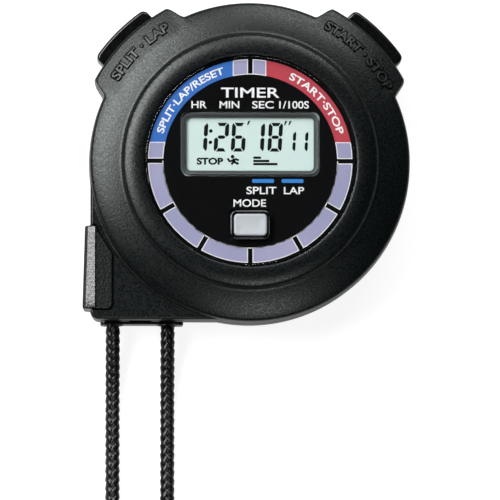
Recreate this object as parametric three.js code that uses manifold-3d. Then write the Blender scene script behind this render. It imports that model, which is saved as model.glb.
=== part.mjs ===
// A handheld digital stopwatch lying on its back, with its neck cord.
//
// Millimetres. +Z comes out through the display, +Y points to twelve o'clock and +X to three o'clock.
// The origin is on the rear face, under the centre of the dial.

import * as THREE from 'three';
import { mergeVertices } from 'three/addons/utils/BufferGeometryUtils.js';
import Module from 'manifold-3d';

const wasm = await Module();
wasm.setup();

// ---- Driving dimensions ----

const GAP = 0.3; // between pieces that touch
const ROUND = 64; // sides of the large round shapes
const SMALL_ROUND = 16; // sides of the small ones

const CASE_RADIUS = 32; // at the rim of the front
const DRAFT = 0.2; // the side wall leans out by this much down to the parting line
const CAVITY_RADIUS = 28;
const REAR_INSET = 0.3; // the rear shell's corner and shoulders are this much smaller all round
const REAR_FLOOR = 1.8;
const REAR_TOP = 9;
const FRONT_BOTTOM = REAR_TOP + GAP;
const WEB = { bottom: 14.4, top: 15.6 }; // the front shell's inner floor, under the dial

// The sloping face: an arc whose highest point would be at radius `middle`.
const FACE = { middle: 19.7, bend: 33, creaseZ: 16.5 };
const CREASE_RADIUS = 25.8; // where the face meets the raised bead
const RIM_ROUND = 0.8; // rounding between the face and the side wall
// The bead round the lens: a wide dome, then a tighter round down into the crease.
const BEAD = { crest: 22.2, top: 17.8, bend: 8, shoulder: 24.9, round: 1.5 };
const WINDOW_RADIUS = 21.3; // recess for dial and lens

const CORNER = { left: -31.9, bottom: -31.5, round: 1.7, top: 13 };

const LENS = { radius: 21, bottom: 16.5, top: 17.7 };
const DIAL = { radius: 21, bottom: 15.9, top: 16.2 };

const SHOULDER_RADIUS = 35.2; // the case's shoulders, which carry the two push buttons
const SHOULDER_HALF_ANGLE = THREE.MathUtils.degToRad(17.5);
const BUTTONS = { start_stop: Math.PI / 4, split_lap: (3 * Math.PI) / 4 };
const CAP = { face: 37.5, back: 33, halfWidth: 6.9, bottom: 6.05, top: 12.25, wall: 0.8, skin: 1.4 };
const POCKET = { floor: 31.5, halfWidth: 7.2, bottom: CAP.bottom - GAP, top: CAP.top + GAP };
const BUTTON_Z = (CAP.bottom + CAP.top) / 2;
const STEM = { radius: 1, inner: 26.3, outer: CAP.face - CAP.skin - GAP };
const BORE_RADIUS = STEM.radius + GAP;
const CLIP = { radius: 2.4, inner: 27, outer: 27.5 };
const SPRING = { radius: 1.65, wire: 0.35, inner: POCKET.floor + GAP, outer: STEM.outer, turns: 4 };
const LEAF = { inner: 24.5, outer: 24.75, halfWidth: 2, bottom: 6.8, foot: 21.3 };

const DISPLAY_Y = 3.45; // centre of the display
const PANEL = { width: 29.6, height: 14.6, bottom: 13.5, top: 15 };
const BEZEL = { width: 27.2, height: 12.4, round: 1.2, bottom: PANEL.top + GAP, top: 16.2 };
const BEZEL_OPENING = { width: 25.4, height: 10.4, round: 0.8 };
const HOLDER = { width: 34, height: 18.5, top: WEB.bottom - GAP, ledge: PANEL.bottom - GAP };
const REFLECTOR = { width: 27, height: 8.6, thickness: 0.3 };
const ZEBRA = { width: 27, height: 1.5, offset: 5.7 };

const MODE_Y = -12.95;
const MODE_KEY = { width: 6.6, height: 4.4, top: 18.3, flange: 1, flangeThickness: 0.7 };
const MODE_COLLAR = { width: 8.1, height: 5.9, top: 17.9, round: 0.7 };

const BOARD = { radius: 23.5, bottom: 9.6, top: 10.6 };
const BATTERY = { x: 2, y: -6, radius: 10, bottom: 3.4, top: 6.6 };
const BATTERY_HOLDER = { inner: 10.3, outer: 11.6 };

const REAR_SCREWS = [15, 165, 255, 315].map((angle) => polar(26.4, angle));
const REAR_SCREW = { head: 1.65, headBottom: 0.3, headTop: 1.7, shank: 0.85, slot: 1.1, post: 2.4 };
const BOARD_SCREWS = [[-19, -10], [19, -10], [0, 18.5]];
const BOARD_SCREW = { head: 1.7, headThickness: 1.3, shank: 0.75, post: 2 };
const SCREW_TIP = 13.4; // the height that every screw reaches
const SCREW_HOLE_END = 13.9;

const CORD_RADIUS = 1.5;
const CORD_Z = 4.5; // height at which the cord leaves the case
const CORD_X = { left: -27.3, right: -16.3 };
const CORD_LOOP = {
  x: (CORD_X.left + CORD_X.right) / 2,
  y: -26.4,
  radius: (CORD_X.right - CORD_X.left) / 2,
};
const CORD_POCKET = { radius: CORD_LOOP.radius + CORD_RADIUS + 0.4, bottom: 2.6, wall: -29.9 };
const CORD_MOUTH_RADIUS = 1.9;
const PLATE = { left: -29.8, right: -13.2, back: -31.5, front: -32.2, bottom: 2.2, top: 6.8, hole: 1.85 };
const PEG = { halfWidth: 2, inner: -30.8, bottom: 3.5, top: 5.5 }; // on the back of the plate

const COVER = { left: -33.5, seam: -30.9, top: -12.7, bottom: -29.4, tip: -27.5, low: 3.4, high: 13 };
const COVER_HOOK = { reach: 0.9, thickness: 1 }; // the lip along the cover's lower edge

const COIL = { x: -4.8, y: -99, inner: 8.8, outer: 24.2, bottom: 0.1, top: 7 };
const TIE = { thickness: 0.6, halfWidth: 2.5, lift: 0.95 };

// ---- Colours and finishes ----

const finish = (color, roughness, metalness = 0) =>
  new THREE.MeshStandardMaterial({ color, roughness, metalness });

const MATERIALS = {
  case: finish(0x1d2222, 0.55),
  rearCase: finish(0x1b1f20, 0.4),
  cover: finish(0x202424, 0.6),
  cap: finish(0x17191a, 0.45),
  lens: finish(0xf2f6f6, 0.05),
  dial: finish(0x101216, 0.5),
  bezel: finish(0x3b3f43, 0.45),
  display: finish(0xcfdfdb, 0.2),
  reflector: finish(0xc9cdc8, 0.3, 0.6),
  holder: finish(0xe6e6e0, 0.6),
  zebra: finish(0x55504a, 0.8),
  board: finish(0x1f5a3a, 0.5),
  resin: finish(0x0d0d0e, 0.35),
  steel: finish(0xc4c6c8, 0.3, 1),
  gold: finish(0xc9a24a, 0.35, 1),
  ceramic: finish(0xb08d57, 0.5),
  holderBlack: finish(0x222222, 0.6),
  key: finish(0xb9bec4, 0.45),
  rubber: finish(0x8f9396, 0.8),
  cord: finish(0x0e0e10, 0.9),
  tie: finish(0x141416, 0.8),
};

// ---- Geometry helpers ----

function polar(radius, degrees) {
  const angle = THREE.MathUtils.degToRad(degrees);
  return [radius * Math.cos(angle), radius * Math.sin(angle)];
}

// A closed geometry as a solid with its faces pointing out.
function solid(geometry) {
  const bare = geometry.clone();
  bare.deleteAttribute('normal');
  bare.deleteAttribute('uv');
  const welded = mergeVertices(bare, 1e-4);
  const at = welded.attributes.position;
  const triangles = [];
  let volume = 0;
  for (let i = 0; i < welded.index.count; i += 3) {
    const [a, b, c] = [0, 1, 2].map((corner) => welded.index.getX(i + corner));
    if (a === b || b === c || c === a) continue;
    triangles.push([a, b, c]);
    const [p, q, r] = [a, b, c].map((v) => new THREE.Vector3().fromBufferAttribute(at, v));
    volume += p.dot(q.cross(r));
  }
  if (volume < 0) triangles.forEach((triangle) => triangle.reverse());
  return new wasm.Manifold(
    new wasm.Mesh({
      numProp: 3,
      vertProperties: new Float32Array(at.array),
      triVerts: new Uint32Array(triangles.flat()),
    }),
  );
}

function geometryOf(manifold) {
  const mesh = manifold.getMesh();
  const geometry = new THREE.BufferGeometry();
  geometry.setAttribute('position', new THREE.BufferAttribute(new Float32Array(mesh.vertProperties), 3));
  geometry.setIndex(new THREE.BufferAttribute(new Uint32Array(mesh.triVerts), 1));
  geometry.computeVertexNormals();
  return geometry;
}

function joined(...solids) {
  return solids.reduce((whole, next) => whole.add(next));
}

// A flat outline raised from one height to another.
function prism(outline, bottom, top) {
  const options = { depth: top - bottom, bevelEnabled: false, curveSegments: 6 };
  return solid(new THREE.ExtrudeGeometry(outline, options).translate(0, 0, bottom));
}

// A profile of [radius, height] points turned about the Z axis, or about one parallel to it.
function turned(profile, sides = ROUND, [x, y] = [0, 0]) {
  const points = profile.map(([radius, height]) => new THREE.Vector2(radius, height));
  return solid(new THREE.LatheGeometry(points, sides).rotateX(Math.PI / 2).translate(x, y, 0));
}

function disc(radius, bottom, top, centre = [0, 0], sides = SMALL_ROUND) {
  return turned([[0, bottom], [radius, bottom], [radius, top], [0, top]], sides, centre);
}

function ring(inner, outer, bottom, top, centre = [0, 0], sides = SMALL_ROUND) {
  const profile = [[inner, bottom], [outer, bottom], [outer, top], [inner, top], [inner, bottom]];
  return turned(profile, sides, centre);
}

function block([x0, x1], [y0, y1], [z0, z1]) {
  const box = new THREE.BoxGeometry(x1 - x0, y1 - y0, z1 - z0);
  return solid(box.translate((x0 + x1) / 2, (y0 + y1) / 2, (z0 + z1) / 2));
}

function rectangle(width, height, y = 0, round = 0) {
  const [w, h] = [width / 2, height / 2];
  const outline = new THREE.Shape();
  if (round === 0) {
    outline.moveTo(-w, y - h).lineTo(w, y - h).lineTo(w, y + h).lineTo(-w, y + h);
    return outline;
  }
  outline.absarc(w - round, y - h + round, round, -Math.PI / 2, 0);
  outline.absarc(w - round, y + h - round, round, 0, Math.PI / 2);
  outline.absarc(-w + round, y + h - round, round, Math.PI / 2, Math.PI);
  outline.absarc(-w + round, y - h + round, round, Math.PI, Math.PI * 1.5);
  return outline;
}

function polygon(points) {
  return new THREE.Shape(points.map(([x, y]) => new THREE.Vector2(x, y)));
}

// A cylinder along X, used for what lies along a button's axis.
function axle(radius, x0, x1, z, sides = SMALL_ROUND) {
  const cylinder = new THREE.CylinderGeometry(radius, radius, x1 - x0, sides);
  return solid(cylinder.rotateZ(-Math.PI / 2).translate((x0 + x1) / 2, 0, z));
}

function tube(points, radius, sides, steps) {
  const path = new THREE.CatmullRomCurve3(points.map((point) => new THREE.Vector3(...point)));
  const section = new THREE.Shape();
  for (let side = 0; side < sides; side += 1) {
    const angle = ((side + 0.5) / sides) * Math.PI * 2;
    const corner = [radius * Math.cos(angle), radius * Math.sin(angle)];
    if (side === 0) section.moveTo(...corner);
    else section.lineTo(...corner);
  }
  return new THREE.ExtrudeGeometry(section, { extrudePath: path, steps, bevelEnabled: false });
}

// A cutter made along +X, turned to a button's place round the case.
function atButton(manifold, angle) {
  return solid(geometryOf(manifold).rotateZ(angle));
}

// ---- The two shells of the case ----

function dropFromArc(distance, bend) {
  return bend - Math.sqrt(bend ** 2 - distance ** 2);
}

function faceHeight(radius) {
  const fall = dropFromArc(radius - FACE.middle, FACE.bend);
  return FACE.creaseZ + dropFromArc(CREASE_RADIUS - FACE.middle, FACE.bend) - fall;
}

// The rounded rim from the side wall up onto the face, for a given outer radius.
function faceRim(radius) {
  return [
    [radius, faceHeight(radius) - RIM_ROUND],
    [radius - RIM_ROUND * 0.3, faceHeight(radius) - RIM_ROUND * 0.25],
    [radius - RIM_ROUND, faceHeight(radius - RIM_ROUND)],
  ];
}

// From the crease up over the bead's crest and round to its inner edge.
function bead() {
  const domeHeight = (radius) => BEAD.top - dropFromArc(radius - BEAD.crest, BEAD.bend);
  const dome = [BEAD.shoulder, (BEAD.shoulder + BEAD.crest) / 2, BEAD.crest];
  const foot = CREASE_RADIUS - 0.05;
  return [
    [foot, FACE.creaseZ + 0.1],
    [foot - BEAD.round * 0.2, domeHeight(BEAD.shoulder) - BEAD.round * 0.22],
    ...dome.map((radius) => [radius, domeHeight(radius)]),
    [BEAD.crest - 0.5, BEAD.top - 0.05],
    [WINDOW_RADIUS, BEAD.top - 0.5],
  ];
}

function frontBody() {
  return turned([
    [0, WEB.bottom],
    [CAVITY_RADIUS, WEB.bottom],
    [CAVITY_RADIUS, FRONT_BOTTOM],
    [CASE_RADIUS + DRAFT, FRONT_BOTTOM],
    ...faceRim(CASE_RADIUS),
    ...[30, 28].map((radius) => [radius, faceHeight(radius)]),
    [CREASE_RADIUS, FACE.creaseZ],
    ...bead(),
    [WINDOW_RADIUS, WEB.top],
    [0, WEB.top],
  ]);
}

// Two wedges, seen from the front, that the shoulders are cut from.
function shoulderWedges(bottom, top) {
  const flare = THREE.MathUtils.degToRad(3);
  const reach = SHOULDER_RADIUS + 3;
  const at = (radius, angle) => [radius * Math.cos(angle), radius * Math.sin(angle)];
  const wedges = Object.values(BUTTONS).map((angle) => {
    const outline = [
      at(CASE_RADIUS - 2, angle - SHOULDER_HALF_ANGLE - flare),
      at(CASE_RADIUS, angle - SHOULDER_HALF_ANGLE - flare),
      at(SHOULDER_RADIUS - 0.8, angle - SHOULDER_HALF_ANGLE),
      at(SHOULDER_RADIUS, angle - SHOULDER_HALF_ANGLE + flare / 2),
      at(reach, angle - SHOULDER_HALF_ANGLE + flare),
      at(reach, angle + SHOULDER_HALF_ANGLE - flare),
      at(SHOULDER_RADIUS, angle + SHOULDER_HALF_ANGLE - flare / 2),
      at(SHOULDER_RADIUS - 0.8, angle + SHOULDER_HALF_ANGLE),
      at(CASE_RADIUS, angle + SHOULDER_HALF_ANGLE + flare),
      at(CASE_RADIUS - 2, angle + SHOULDER_HALF_ANGLE + flare),
    ];
    return prism(polygon(outline), bottom, top);
  });
  return joined(...wedges);
}

function frontShoulders() {
  const inner = CASE_RADIUS - 2;
  const profile = [
    [inner, FRONT_BOTTOM],
    [SHOULDER_RADIUS, FRONT_BOTTOM],
    ...faceRim(SHOULDER_RADIUS),
    [inner, faceHeight(inner)],
    [inner, FRONT_BOTTOM],
  ];
  return turned(profile).intersect(shoulderWedges(0, 20));
}

// The square corner that carries the cord: everything between the round wall and the corner's edges.
function cornerBlock(inset, bottom, top, innerRadius) {
  const [left, low] = [CORNER.left + inset, CORNER.bottom + inset];
  const outline = new THREE.Shape();
  outline.moveTo(left, 0);
  outline.absarc(left + CORNER.round, low + CORNER.round, CORNER.round, Math.PI, Math.PI * 1.5);
  outline.lineTo(0, low);
  outline.absarc(0, 0, innerRadius, Math.PI * 1.5, Math.PI, true);
  return prism(outline, bottom, top);
}

// An opening all the way through the web or the dial, a gap larger than what stands in it.
function openingFor({ width, height }, y, round = 0) {
  return prism(rectangle(width + 2 * GAP, height + 2 * GAP, y, round), WEB.bottom - 1, MODE_KEY.top + 1);
}

// The pocket for a button's cap and the bore for its stem.
function buttonCuts() {
  const pocket = block(
    [POCKET.floor, SHOULDER_RADIUS + 4],
    [-POCKET.halfWidth, POCKET.halfWidth],
    [POCKET.bottom, POCKET.top],
  );
  const cut = pocket.add(axle(BORE_RADIUS, CAVITY_RADIUS - 3, POCKET.floor + 1, BUTTON_Z));
  return joined(...Object.values(BUTTONS).map((angle) => atButton(cut, angle)));
}

// The recess that the corner cover snaps into: its leaf on top, its spine down the side.
function coverCuts() {
  const spine = block(
    [CORNER.left - 2, COVER.seam + GAP],
    [COVER.bottom - GAP, COVER.top + GAP],
    [COVER.low - GAP, CORNER.top + 1],
  );
  const leaf = prism(coverLeaf(GAP), COVER.high - 1.3, CORNER.top + 1);
  const hook = block(
    [CORNER.left - 2, COVER.seam + COVER_HOOK.reach + GAP],
    [COVER.bottom - GAP, COVER.top + GAP],
    [COVER.low - GAP, COVER.low + COVER_HOOK.thickness + GAP],
  );
  return joined(spine, leaf, hook);
}

function coverLeaf(grow) {
  const slant = 5.6;
  return polygon([
    [COVER.left - grow, COVER.bottom - grow],
    [COVER.tip - 1, COVER.bottom - grow],
    [COVER.tip + grow, COVER.bottom + 1],
    [COVER.tip + grow, COVER.top - slant + grow / 2],
    [COVER.seam - 0.4 + grow, COVER.top + grow],
    [COVER.left - grow, COVER.top + grow],
  ]);
}

function frontCase() {
  const intoWeb = WEB.bottom + 0.2;
  const collar = rectangle(MODE_COLLAR.width, MODE_COLLAR.height, MODE_Y, MODE_COLLAR.round);
  const posts = REAR_SCREWS.map((at) => disc(REAR_SCREW.post, FRONT_BOTTOM, intoWeb, at));
  const boardPosts = BOARD_SCREWS.map((at) => disc(BOARD_SCREW.post, BOARD.top + GAP, intoWeb, at));
  const holes = [
    ...REAR_SCREWS.map((at) => disc(REAR_SCREW.shank + GAP, FRONT_BOTTOM - 1, SCREW_HOLE_END, at)),
    ...BOARD_SCREWS.map((at) => disc(BOARD_SCREW.shank + GAP, BOARD.top, SCREW_HOLE_END, at)),
  ];
  return joined(
    frontBody(),
    frontShoulders(),
    cornerBlock(0, FRONT_BOTTOM, CORNER.top, CASE_RADIUS - 2),
    prism(collar, intoWeb, MODE_COLLAR.top),
    ...posts,
    ...boardPosts,
  )
    .subtract(joined(openingFor(PANEL, DISPLAY_Y), openingFor(MODE_KEY, MODE_Y, 0.4), ...holes))
    .subtract(buttonCuts())
    .subtract(coverCuts());
}

function rearBody() {
  return turned([
    [0, 0],
    [CASE_RADIUS - 1.4, 0],
    [CASE_RADIUS - 0.6, 0.35],
    [CASE_RADIUS - 0.2, 1.2],
    [CASE_RADIUS + DRAFT, REAR_TOP],
    [CAVITY_RADIUS, REAR_TOP],
    [CAVITY_RADIUS, REAR_FLOOR],
    [0, REAR_FLOOR],
  ]);
}

function rearShoulders() {
  const inner = CASE_RADIUS - 2;
  const outer = SHOULDER_RADIUS - REAR_INSET;
  const profile = [
    [inner, 0],
    [outer - 1.2, 0],
    [outer - 0.35, 0.35],
    [outer, 1.2],
    [outer, REAR_TOP],
    [inner, REAR_TOP],
    [inner, 0],
  ];
  return turned(profile).intersect(shoulderWedges(-1, REAR_TOP + 1));
}

// The chamber in the corner where the cord goes round its post, with the two mouths in the bottom wall.
function cordCuts() {
  const pocket = new THREE.Shape();
  pocket.moveTo(CORD_LOOP.x - CORD_POCKET.radius, CORD_POCKET.wall);
  pocket.lineTo(CORD_LOOP.x + CORD_POCKET.radius, CORD_POCKET.wall);
  pocket.absarc(CORD_LOOP.x, CORD_LOOP.y, CORD_POCKET.radius, 0, Math.PI);
  const mouths = Object.values(CORD_X).map((x) => {
    const cylinder = new THREE.CylinderGeometry(CORD_MOUTH_RADIUS, CORD_MOUTH_RADIUS, 4, SMALL_ROUND);
    return solid(cylinder.translate(x, CORD_POCKET.wall - 1, CORD_Z));
  });
  return joined(prism(pocket, CORD_POCKET.bottom, REAR_TOP + 1), ...mouths);
}

function platePegCut() {
  const reach = PEG.halfWidth + GAP;
  const x = [CORD_LOOP.x - reach, CORD_LOOP.x + reach];
  return block(x, [CORNER.bottom - 1.5, PEG.inner + GAP], [PEG.bottom - GAP, PEG.top + GAP]);
}

function rearCase() {
  const posts = REAR_SCREWS.map((at) => disc(REAR_SCREW.post, REAR_FLOOR - 0.5, REAR_TOP, at));
  const recess = [REAR_SCREW.head + 0.35, -1, REAR_SCREW.headTop + GAP];
  const headRecesses = REAR_SCREWS.map((at) => disc(...recess, at));
  const screwHoles = REAR_SCREWS.map((at) => disc(REAR_SCREW.shank + GAP, 1, REAR_TOP + 1, at));
  return joined(
    rearBody(),
    rearShoulders(),
    cornerBlock(REAR_INSET, 0, REAR_TOP, CASE_RADIUS - 3),
    ...posts,
  )
    .subtract(joined(...headRecesses, ...screwHoles))
    .subtract(buttonCuts())
    .subtract(cordCuts())
    .subtract(platePegCut())
    .subtract(coverCuts());
}

// A countersunk screw with a cross recess, its head at the rear.
function rearScrew([x, y]) {
  const head = disc(REAR_SCREW.head, REAR_SCREW.headBottom, REAR_SCREW.headTop, [x, y]);
  const shank = disc(REAR_SCREW.shank, REAR_SCREW.headTop - 0.1, SCREW_TIP, [x, y], 10);
  const [long, short, depth] = [REAR_SCREW.slot, 0.2, [-1, REAR_SCREW.headBottom + 0.5]];
  const slot = block([x - long, x + long], [y - short, y + short], depth);
  const crossSlot = block([x - short, x + short], [y - long, y + long], depth);
  return head.add(shank).subtract(slot.add(crossSlot));
}

// ---- Dial, lens and display ----

function lens() {
  return disc(LENS.radius, LENS.bottom, LENS.top, [0, 0], ROUND)
    .subtract(openingFor(MODE_COLLAR, MODE_Y, MODE_COLLAR.round + 0.2));
}

function dialPlate() {
  return disc(DIAL.radius, DIAL.bottom, DIAL.top, [0, 0], ROUND)
    .subtract(openingFor(MODE_COLLAR, MODE_Y, MODE_COLLAR.round + 0.2))
    .subtract(openingFor(BEZEL, DISPLAY_Y, BEZEL.round));
}

function displayBezel() {
  const { width, height, round } = BEZEL_OPENING;
  return prism(rectangle(BEZEL.width, BEZEL.height, DISPLAY_Y, BEZEL.round), BEZEL.bottom, BEZEL.top)
    .subtract(prism(rectangle(width, height, DISPLAY_Y, round), BEZEL.bottom - 1, BEZEL.top + 1));
}

function centredBlock(width, height, bottom, top, y = DISPLAY_Y) {
  return block([-width / 2, width / 2], [y - height / 2, y + height / 2], [bottom, top]);
}

// A frame between board and web, with a ledge that the panel lies on.
function displayHolder() {
  return centredBlock(HOLDER.width, HOLDER.height, BOARD.top + GAP, HOLDER.top)
    .subtract(centredBlock(PANEL.width + 2 * GAP, PANEL.height + 2 * GAP, HOLDER.ledge, HOLDER.top + 1))
    .subtract(centredBlock(PANEL.width - 1, PANEL.height - 1, BOARD.top, HOLDER.ledge + 1));
}

function reflector() {
  return centredBlock(REFLECTOR.width, REFLECTOR.height, HOLDER.ledge - REFLECTOR.thickness, HOLDER.ledge);
}

function zebraStrip(side) {
  const y = DISPLAY_Y + side * ZEBRA.offset;
  return centredBlock(ZEBRA.width, ZEBRA.height, BOARD.top + GAP, HOLDER.ledge, y);
}

// ---- Board and battery ----

function circuitBoard() {
  const holeRadius = BOARD_SCREW.shank + 0.35;
  const holes = BOARD_SCREWS.map((at) => disc(holeRadius, BOARD.bottom - 1, BOARD.top + 1, at));
  return disc(BOARD.radius, BOARD.bottom, BOARD.top, [0, 0], ROUND).subtract(joined(...holes));
}

function boardScrew(at) {
  const top = BOARD.bottom - GAP;
  const head = disc(BOARD_SCREW.head, top - BOARD_SCREW.headThickness, top, at);
  return head.add(disc(BOARD_SCREW.shank, top - 0.2, SCREW_TIP, at, 10));
}

function chipUnderResin() {
  const top = BOARD.bottom - GAP;
  return turned([[0, top - 1.2], [2.4, top - 0.9], [3.8, top - 0.3], [4, top], [0, top]], 20, [-14, 8]);
}

function crystalCan() {
  const can = new THREE.CylinderGeometry(0.95, 0.95, 6, SMALL_ROUND).rotateZ(Math.PI / 2);
  return can.translate(-1, 11.5, BOARD.bottom - GAP - 1);
}

function capacitor(y) {
  const top = BOARD.bottom - GAP;
  return block([11, 13], [y - 0.6, y + 0.6], [top - 1, top]);
}

function battery() {
  const { radius, bottom, top, x, y } = BATTERY;
  const profile = [
    [0, bottom],
    [radius - 0.5, bottom],
    [radius, bottom + 0.5],
    [radius, top - 0.8],
    [radius - 1.2, top - 0.8],
    [radius - 1.4, top],
    [0, top],
  ];
  return turned(profile, 32, [x, y]);
}

function batteryHolder() {
  const { inner, outer } = BATTERY_HOLDER;
  return ring(inner, outer, BATTERY.bottom, BOARD.bottom - GAP, [BATTERY.x, BATTERY.y], 32);
}

// A strap across the outside face of the cell, with a leg down each side to the board.
function batteryPlusClip() {
  const [reach, sheet] = [BATTERY_HOLDER.outer + GAP, 0.3];
  const side = reach + sheet;
  const [low, high] = [BATTERY.bottom - GAP - sheet, BOARD.bottom - GAP];
  const y = [BATTERY.y - 2, BATTERY.y + 2];
  return joined(
    block([BATTERY.x - side, BATTERY.x + side], y, [low, low + sheet]),
    block([BATTERY.x - side, BATTERY.x - reach], y, [low, high]),
    block([BATTERY.x + reach, BATTERY.x + side], y, [low, high]),
  );
}

// A sprung leaf from the board down to the inside face of the cell.
function batteryMinusSpring() {
  const [sheet, high, low] = [0.25, BOARD.bottom - GAP, BATTERY.top + GAP];
  const side = polygon([
    [-6, high], [-6, high - sheet], [-1.5, high - sheet], [3, low], [5, low + 0.4],
    [5, low + 0.4 + sheet], [3.1, low + sheet], [-1.4, high],
  ]);
  const leaf = new THREE.ExtrudeGeometry(side, { depth: 3, bevelEnabled: false });
  return leaf.rotateX(Math.PI / 2).translate(BATTERY.x, BATTERY.y + 1.5, 0);
}

// ---- Push buttons, made along +X and turned to their places ----

function pushCap() {
  const bow = Math.asin(CAP.halfWidth / CAP.face);
  const outline = new THREE.Shape();
  outline.moveTo(CAP.back, -CAP.halfWidth);
  outline.lineTo(CAP.face * Math.cos(bow) - 0.9, -CAP.halfWidth);
  outline.absarc(0, 0, CAP.face, -bow * 0.9, bow * 0.9);
  outline.lineTo(CAP.face * Math.cos(bow) - 0.9, CAP.halfWidth);
  outline.lineTo(CAP.back, CAP.halfWidth);
  const hollow = block(
    [CAP.back - 1, CAP.face - CAP.skin],
    [-CAP.halfWidth + 1.2, CAP.halfWidth - 1.2],
    [CAP.bottom + CAP.wall, CAP.top - CAP.wall],
  );
  return prism(outline, CAP.bottom, CAP.top).subtract(hollow);
}

function pushStem() {
  return axle(STEM.radius, STEM.inner, STEM.outer, BUTTON_Z, 12);
}

function pushClip() {
  const plate = axle(CLIP.radius, CLIP.inner, CLIP.outer, BUTTON_Z);
  return plate.subtract(axle(BORE_RADIUS, CLIP.inner - 1, CLIP.outer + 1, BUTTON_Z, 12));
}

// A coil spring round the stem, between the pocket's floor and the inside of the cap.
function pushSpring() {
  const [start, end] = [SPRING.inner + SPRING.wire / 2, SPRING.outer - SPRING.wire / 2];
  const steps = SPRING.turns * 12;
  const points = Array.from({ length: steps + 1 }, (_, step) => {
    const turn = (step / steps) * SPRING.turns * Math.PI * 2;
    return [
      start + ((end - start) * step) / steps,
      SPRING.radius * Math.cos(turn),
      BUTTON_Z + SPRING.radius * Math.sin(turn),
    ];
  });
  return tube(points, SPRING.wire / 2, 5, steps);
}

// The leaf that the stem's end presses: a foot on the board and a blade standing off the board's edge.
function contactLeaf() {
  const foot = BOARD.top + GAP;
  const sheet = LEAF.outer - LEAF.inner;
  const y = [-LEAF.halfWidth, LEAF.halfWidth];
  return block([LEAF.foot, LEAF.outer], y, [foot, foot + sheet])
    .add(block([LEAF.inner, LEAF.outer], y, [LEAF.bottom, foot + sheet]));
}

// ---- Mode key ----

const FLANGE_TOP = WEB.bottom - GAP;
const FLANGE_BOTTOM = FLANGE_TOP - MODE_KEY.flangeThickness;

function modeKey() {
  const outline = rectangle(MODE_KEY.width, MODE_KEY.height, MODE_Y, 0.5);
  const cap = prism(outline, FLANGE_TOP - 0.2, MODE_KEY.top);
  const wide = MODE_KEY.width + 2 * MODE_KEY.flange;
  const high = MODE_KEY.height + 2 * MODE_KEY.flange;
  return cap.add(prism(rectangle(wide, high, MODE_Y), FLANGE_BOTTOM, FLANGE_TOP));
}

function modePad() {
  const [bottom, top] = [BOARD.top + GAP, FLANGE_BOTTOM - GAP];
  const profile = [[0, bottom], [2.8, bottom], [2.8, bottom + 0.5], [1.5, top], [0, top]];
  return turned(profile, SMALL_ROUND, [0, MODE_Y]);
}

// ---- Corner cover, cord plate and post ----

function cornerCover() {
  const rise = 0.5;
  const spine = polygon([
    [COVER.seam, COVER.low],
    [COVER.left + 0.9, COVER.low],
    [COVER.left, COVER.low + 1.4],
    [COVER.left, COVER.high - 1.2],
    [COVER.left + 0.5, COVER.high - 0.1],
    [COVER.left + 1.3, COVER.high + rise],
    [COVER.seam - 0.6, COVER.high + rise],
    [COVER.seam, COVER.high],
  ]);
  const length = COVER.top - COVER.bottom;
  const upright = new THREE.ExtrudeGeometry(spine, { depth: length, bevelEnabled: false });
  const hook = block(
    [COVER.seam - 1, COVER.seam + COVER_HOOK.reach],
    [COVER.bottom, COVER.top],
    [COVER.low, COVER.low + COVER_HOOK.thickness],
  );
  return solid(upright.rotateX(Math.PI / 2).translate(0, COVER.top, 0))
    .add(prism(coverLeaf(0), COVER.high - 1, COVER.high).subtract(
      block([COVER.left - 3, COVER.seam - 0.5], [-40, 0], [0, 20]),
    ))
    .add(hook);
}

function cordPlate() {
  const holes = Object.values(CORD_X).map((x) => {
    const cylinder = new THREE.CylinderGeometry(PLATE.hole, PLATE.hole, 4, SMALL_ROUND);
    return solid(cylinder.translate(x, PLATE.front, CORD_Z));
  });
  const pegWidth = [CORD_LOOP.x - PEG.halfWidth, CORD_LOOP.x + PEG.halfWidth];
  const peg = block(pegWidth, [PLATE.back - 0.2, PEG.inner], [PEG.bottom, PEG.top]);
  return block([PLATE.left, PLATE.right], [PLATE.front, PLATE.back], [PLATE.bottom, PLATE.top])
    .subtract(joined(...holes))
    .add(peg);
}

function cordPost() {
  const radius = CORD_LOOP.radius - CORD_RADIUS - 0.8;
  return disc(radius, CORD_POCKET.bottom + GAP, REAR_TOP - GAP, [CORD_LOOP.x, CORD_LOOP.y], 20);
}

// ---- Neck cord ----

const CORD_DRAWN_RADIUS = CORD_RADIUS - 0.05;
const CORD_SIDES = 8;

function cordInnerLoop() {
  const bend = 8;
  const end = CORD_POCKET.wall - 0.8;
  const arc = Array.from({ length: bend + 1 }, (_, step) => {
    const angle = Math.PI * (1 - step / bend);
    return [
      CORD_LOOP.x + CORD_LOOP.radius * Math.cos(angle),
      CORD_LOOP.y + CORD_LOOP.radius * Math.sin(angle),
      CORD_Z,
    ];
  });
  return tube([[CORD_X.left, end, CORD_Z], ...arc, [CORD_X.right, end, CORD_Z]], CORD_DRAWN_RADIUS, 8, 16);
}

// Both strands leave the corner at the height of their mouths and settle on the surface below.
const SURFACE_Z = CORD_RADIUS;
const LEFT_ROUTE = [
  [-27.3, -31, 4.5],
  [-27.3, -34, 4.4],
  [-27.3, -38, 3.7],
  [-27.3, -43, 2.3],
  [-27.3, -48, 1.65],
  [-27.3, -54, SURFACE_Z],
  [-27.3, -62, SURFACE_Z],
  [-27.3, -70, SURFACE_Z],
  [-27.3, -78, SURFACE_Z],
  [-27.3, -86.6, SURFACE_Z],
];
const RIGHT_ROUTE = [
  [-16.3, -31, 4.5],
  [-16.3, -34, 4.4],
  [-16.3, -38, 3.7],
  [-16.3, -43, 2.3],
  [-16.3, -48, 1.65],
  [-16.3, -54, SURFACE_Z],
  [-16.3, -60, SURFACE_Z],
  [-16.3, -66, SURFACE_Z],
  [-16.3, -70.4, 1.75],
  [-15.94, -72.6, 2.1],
  [-14.8, -74.6, 2.6],
  [-13.9, -75.5, 2.85],
];

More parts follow.
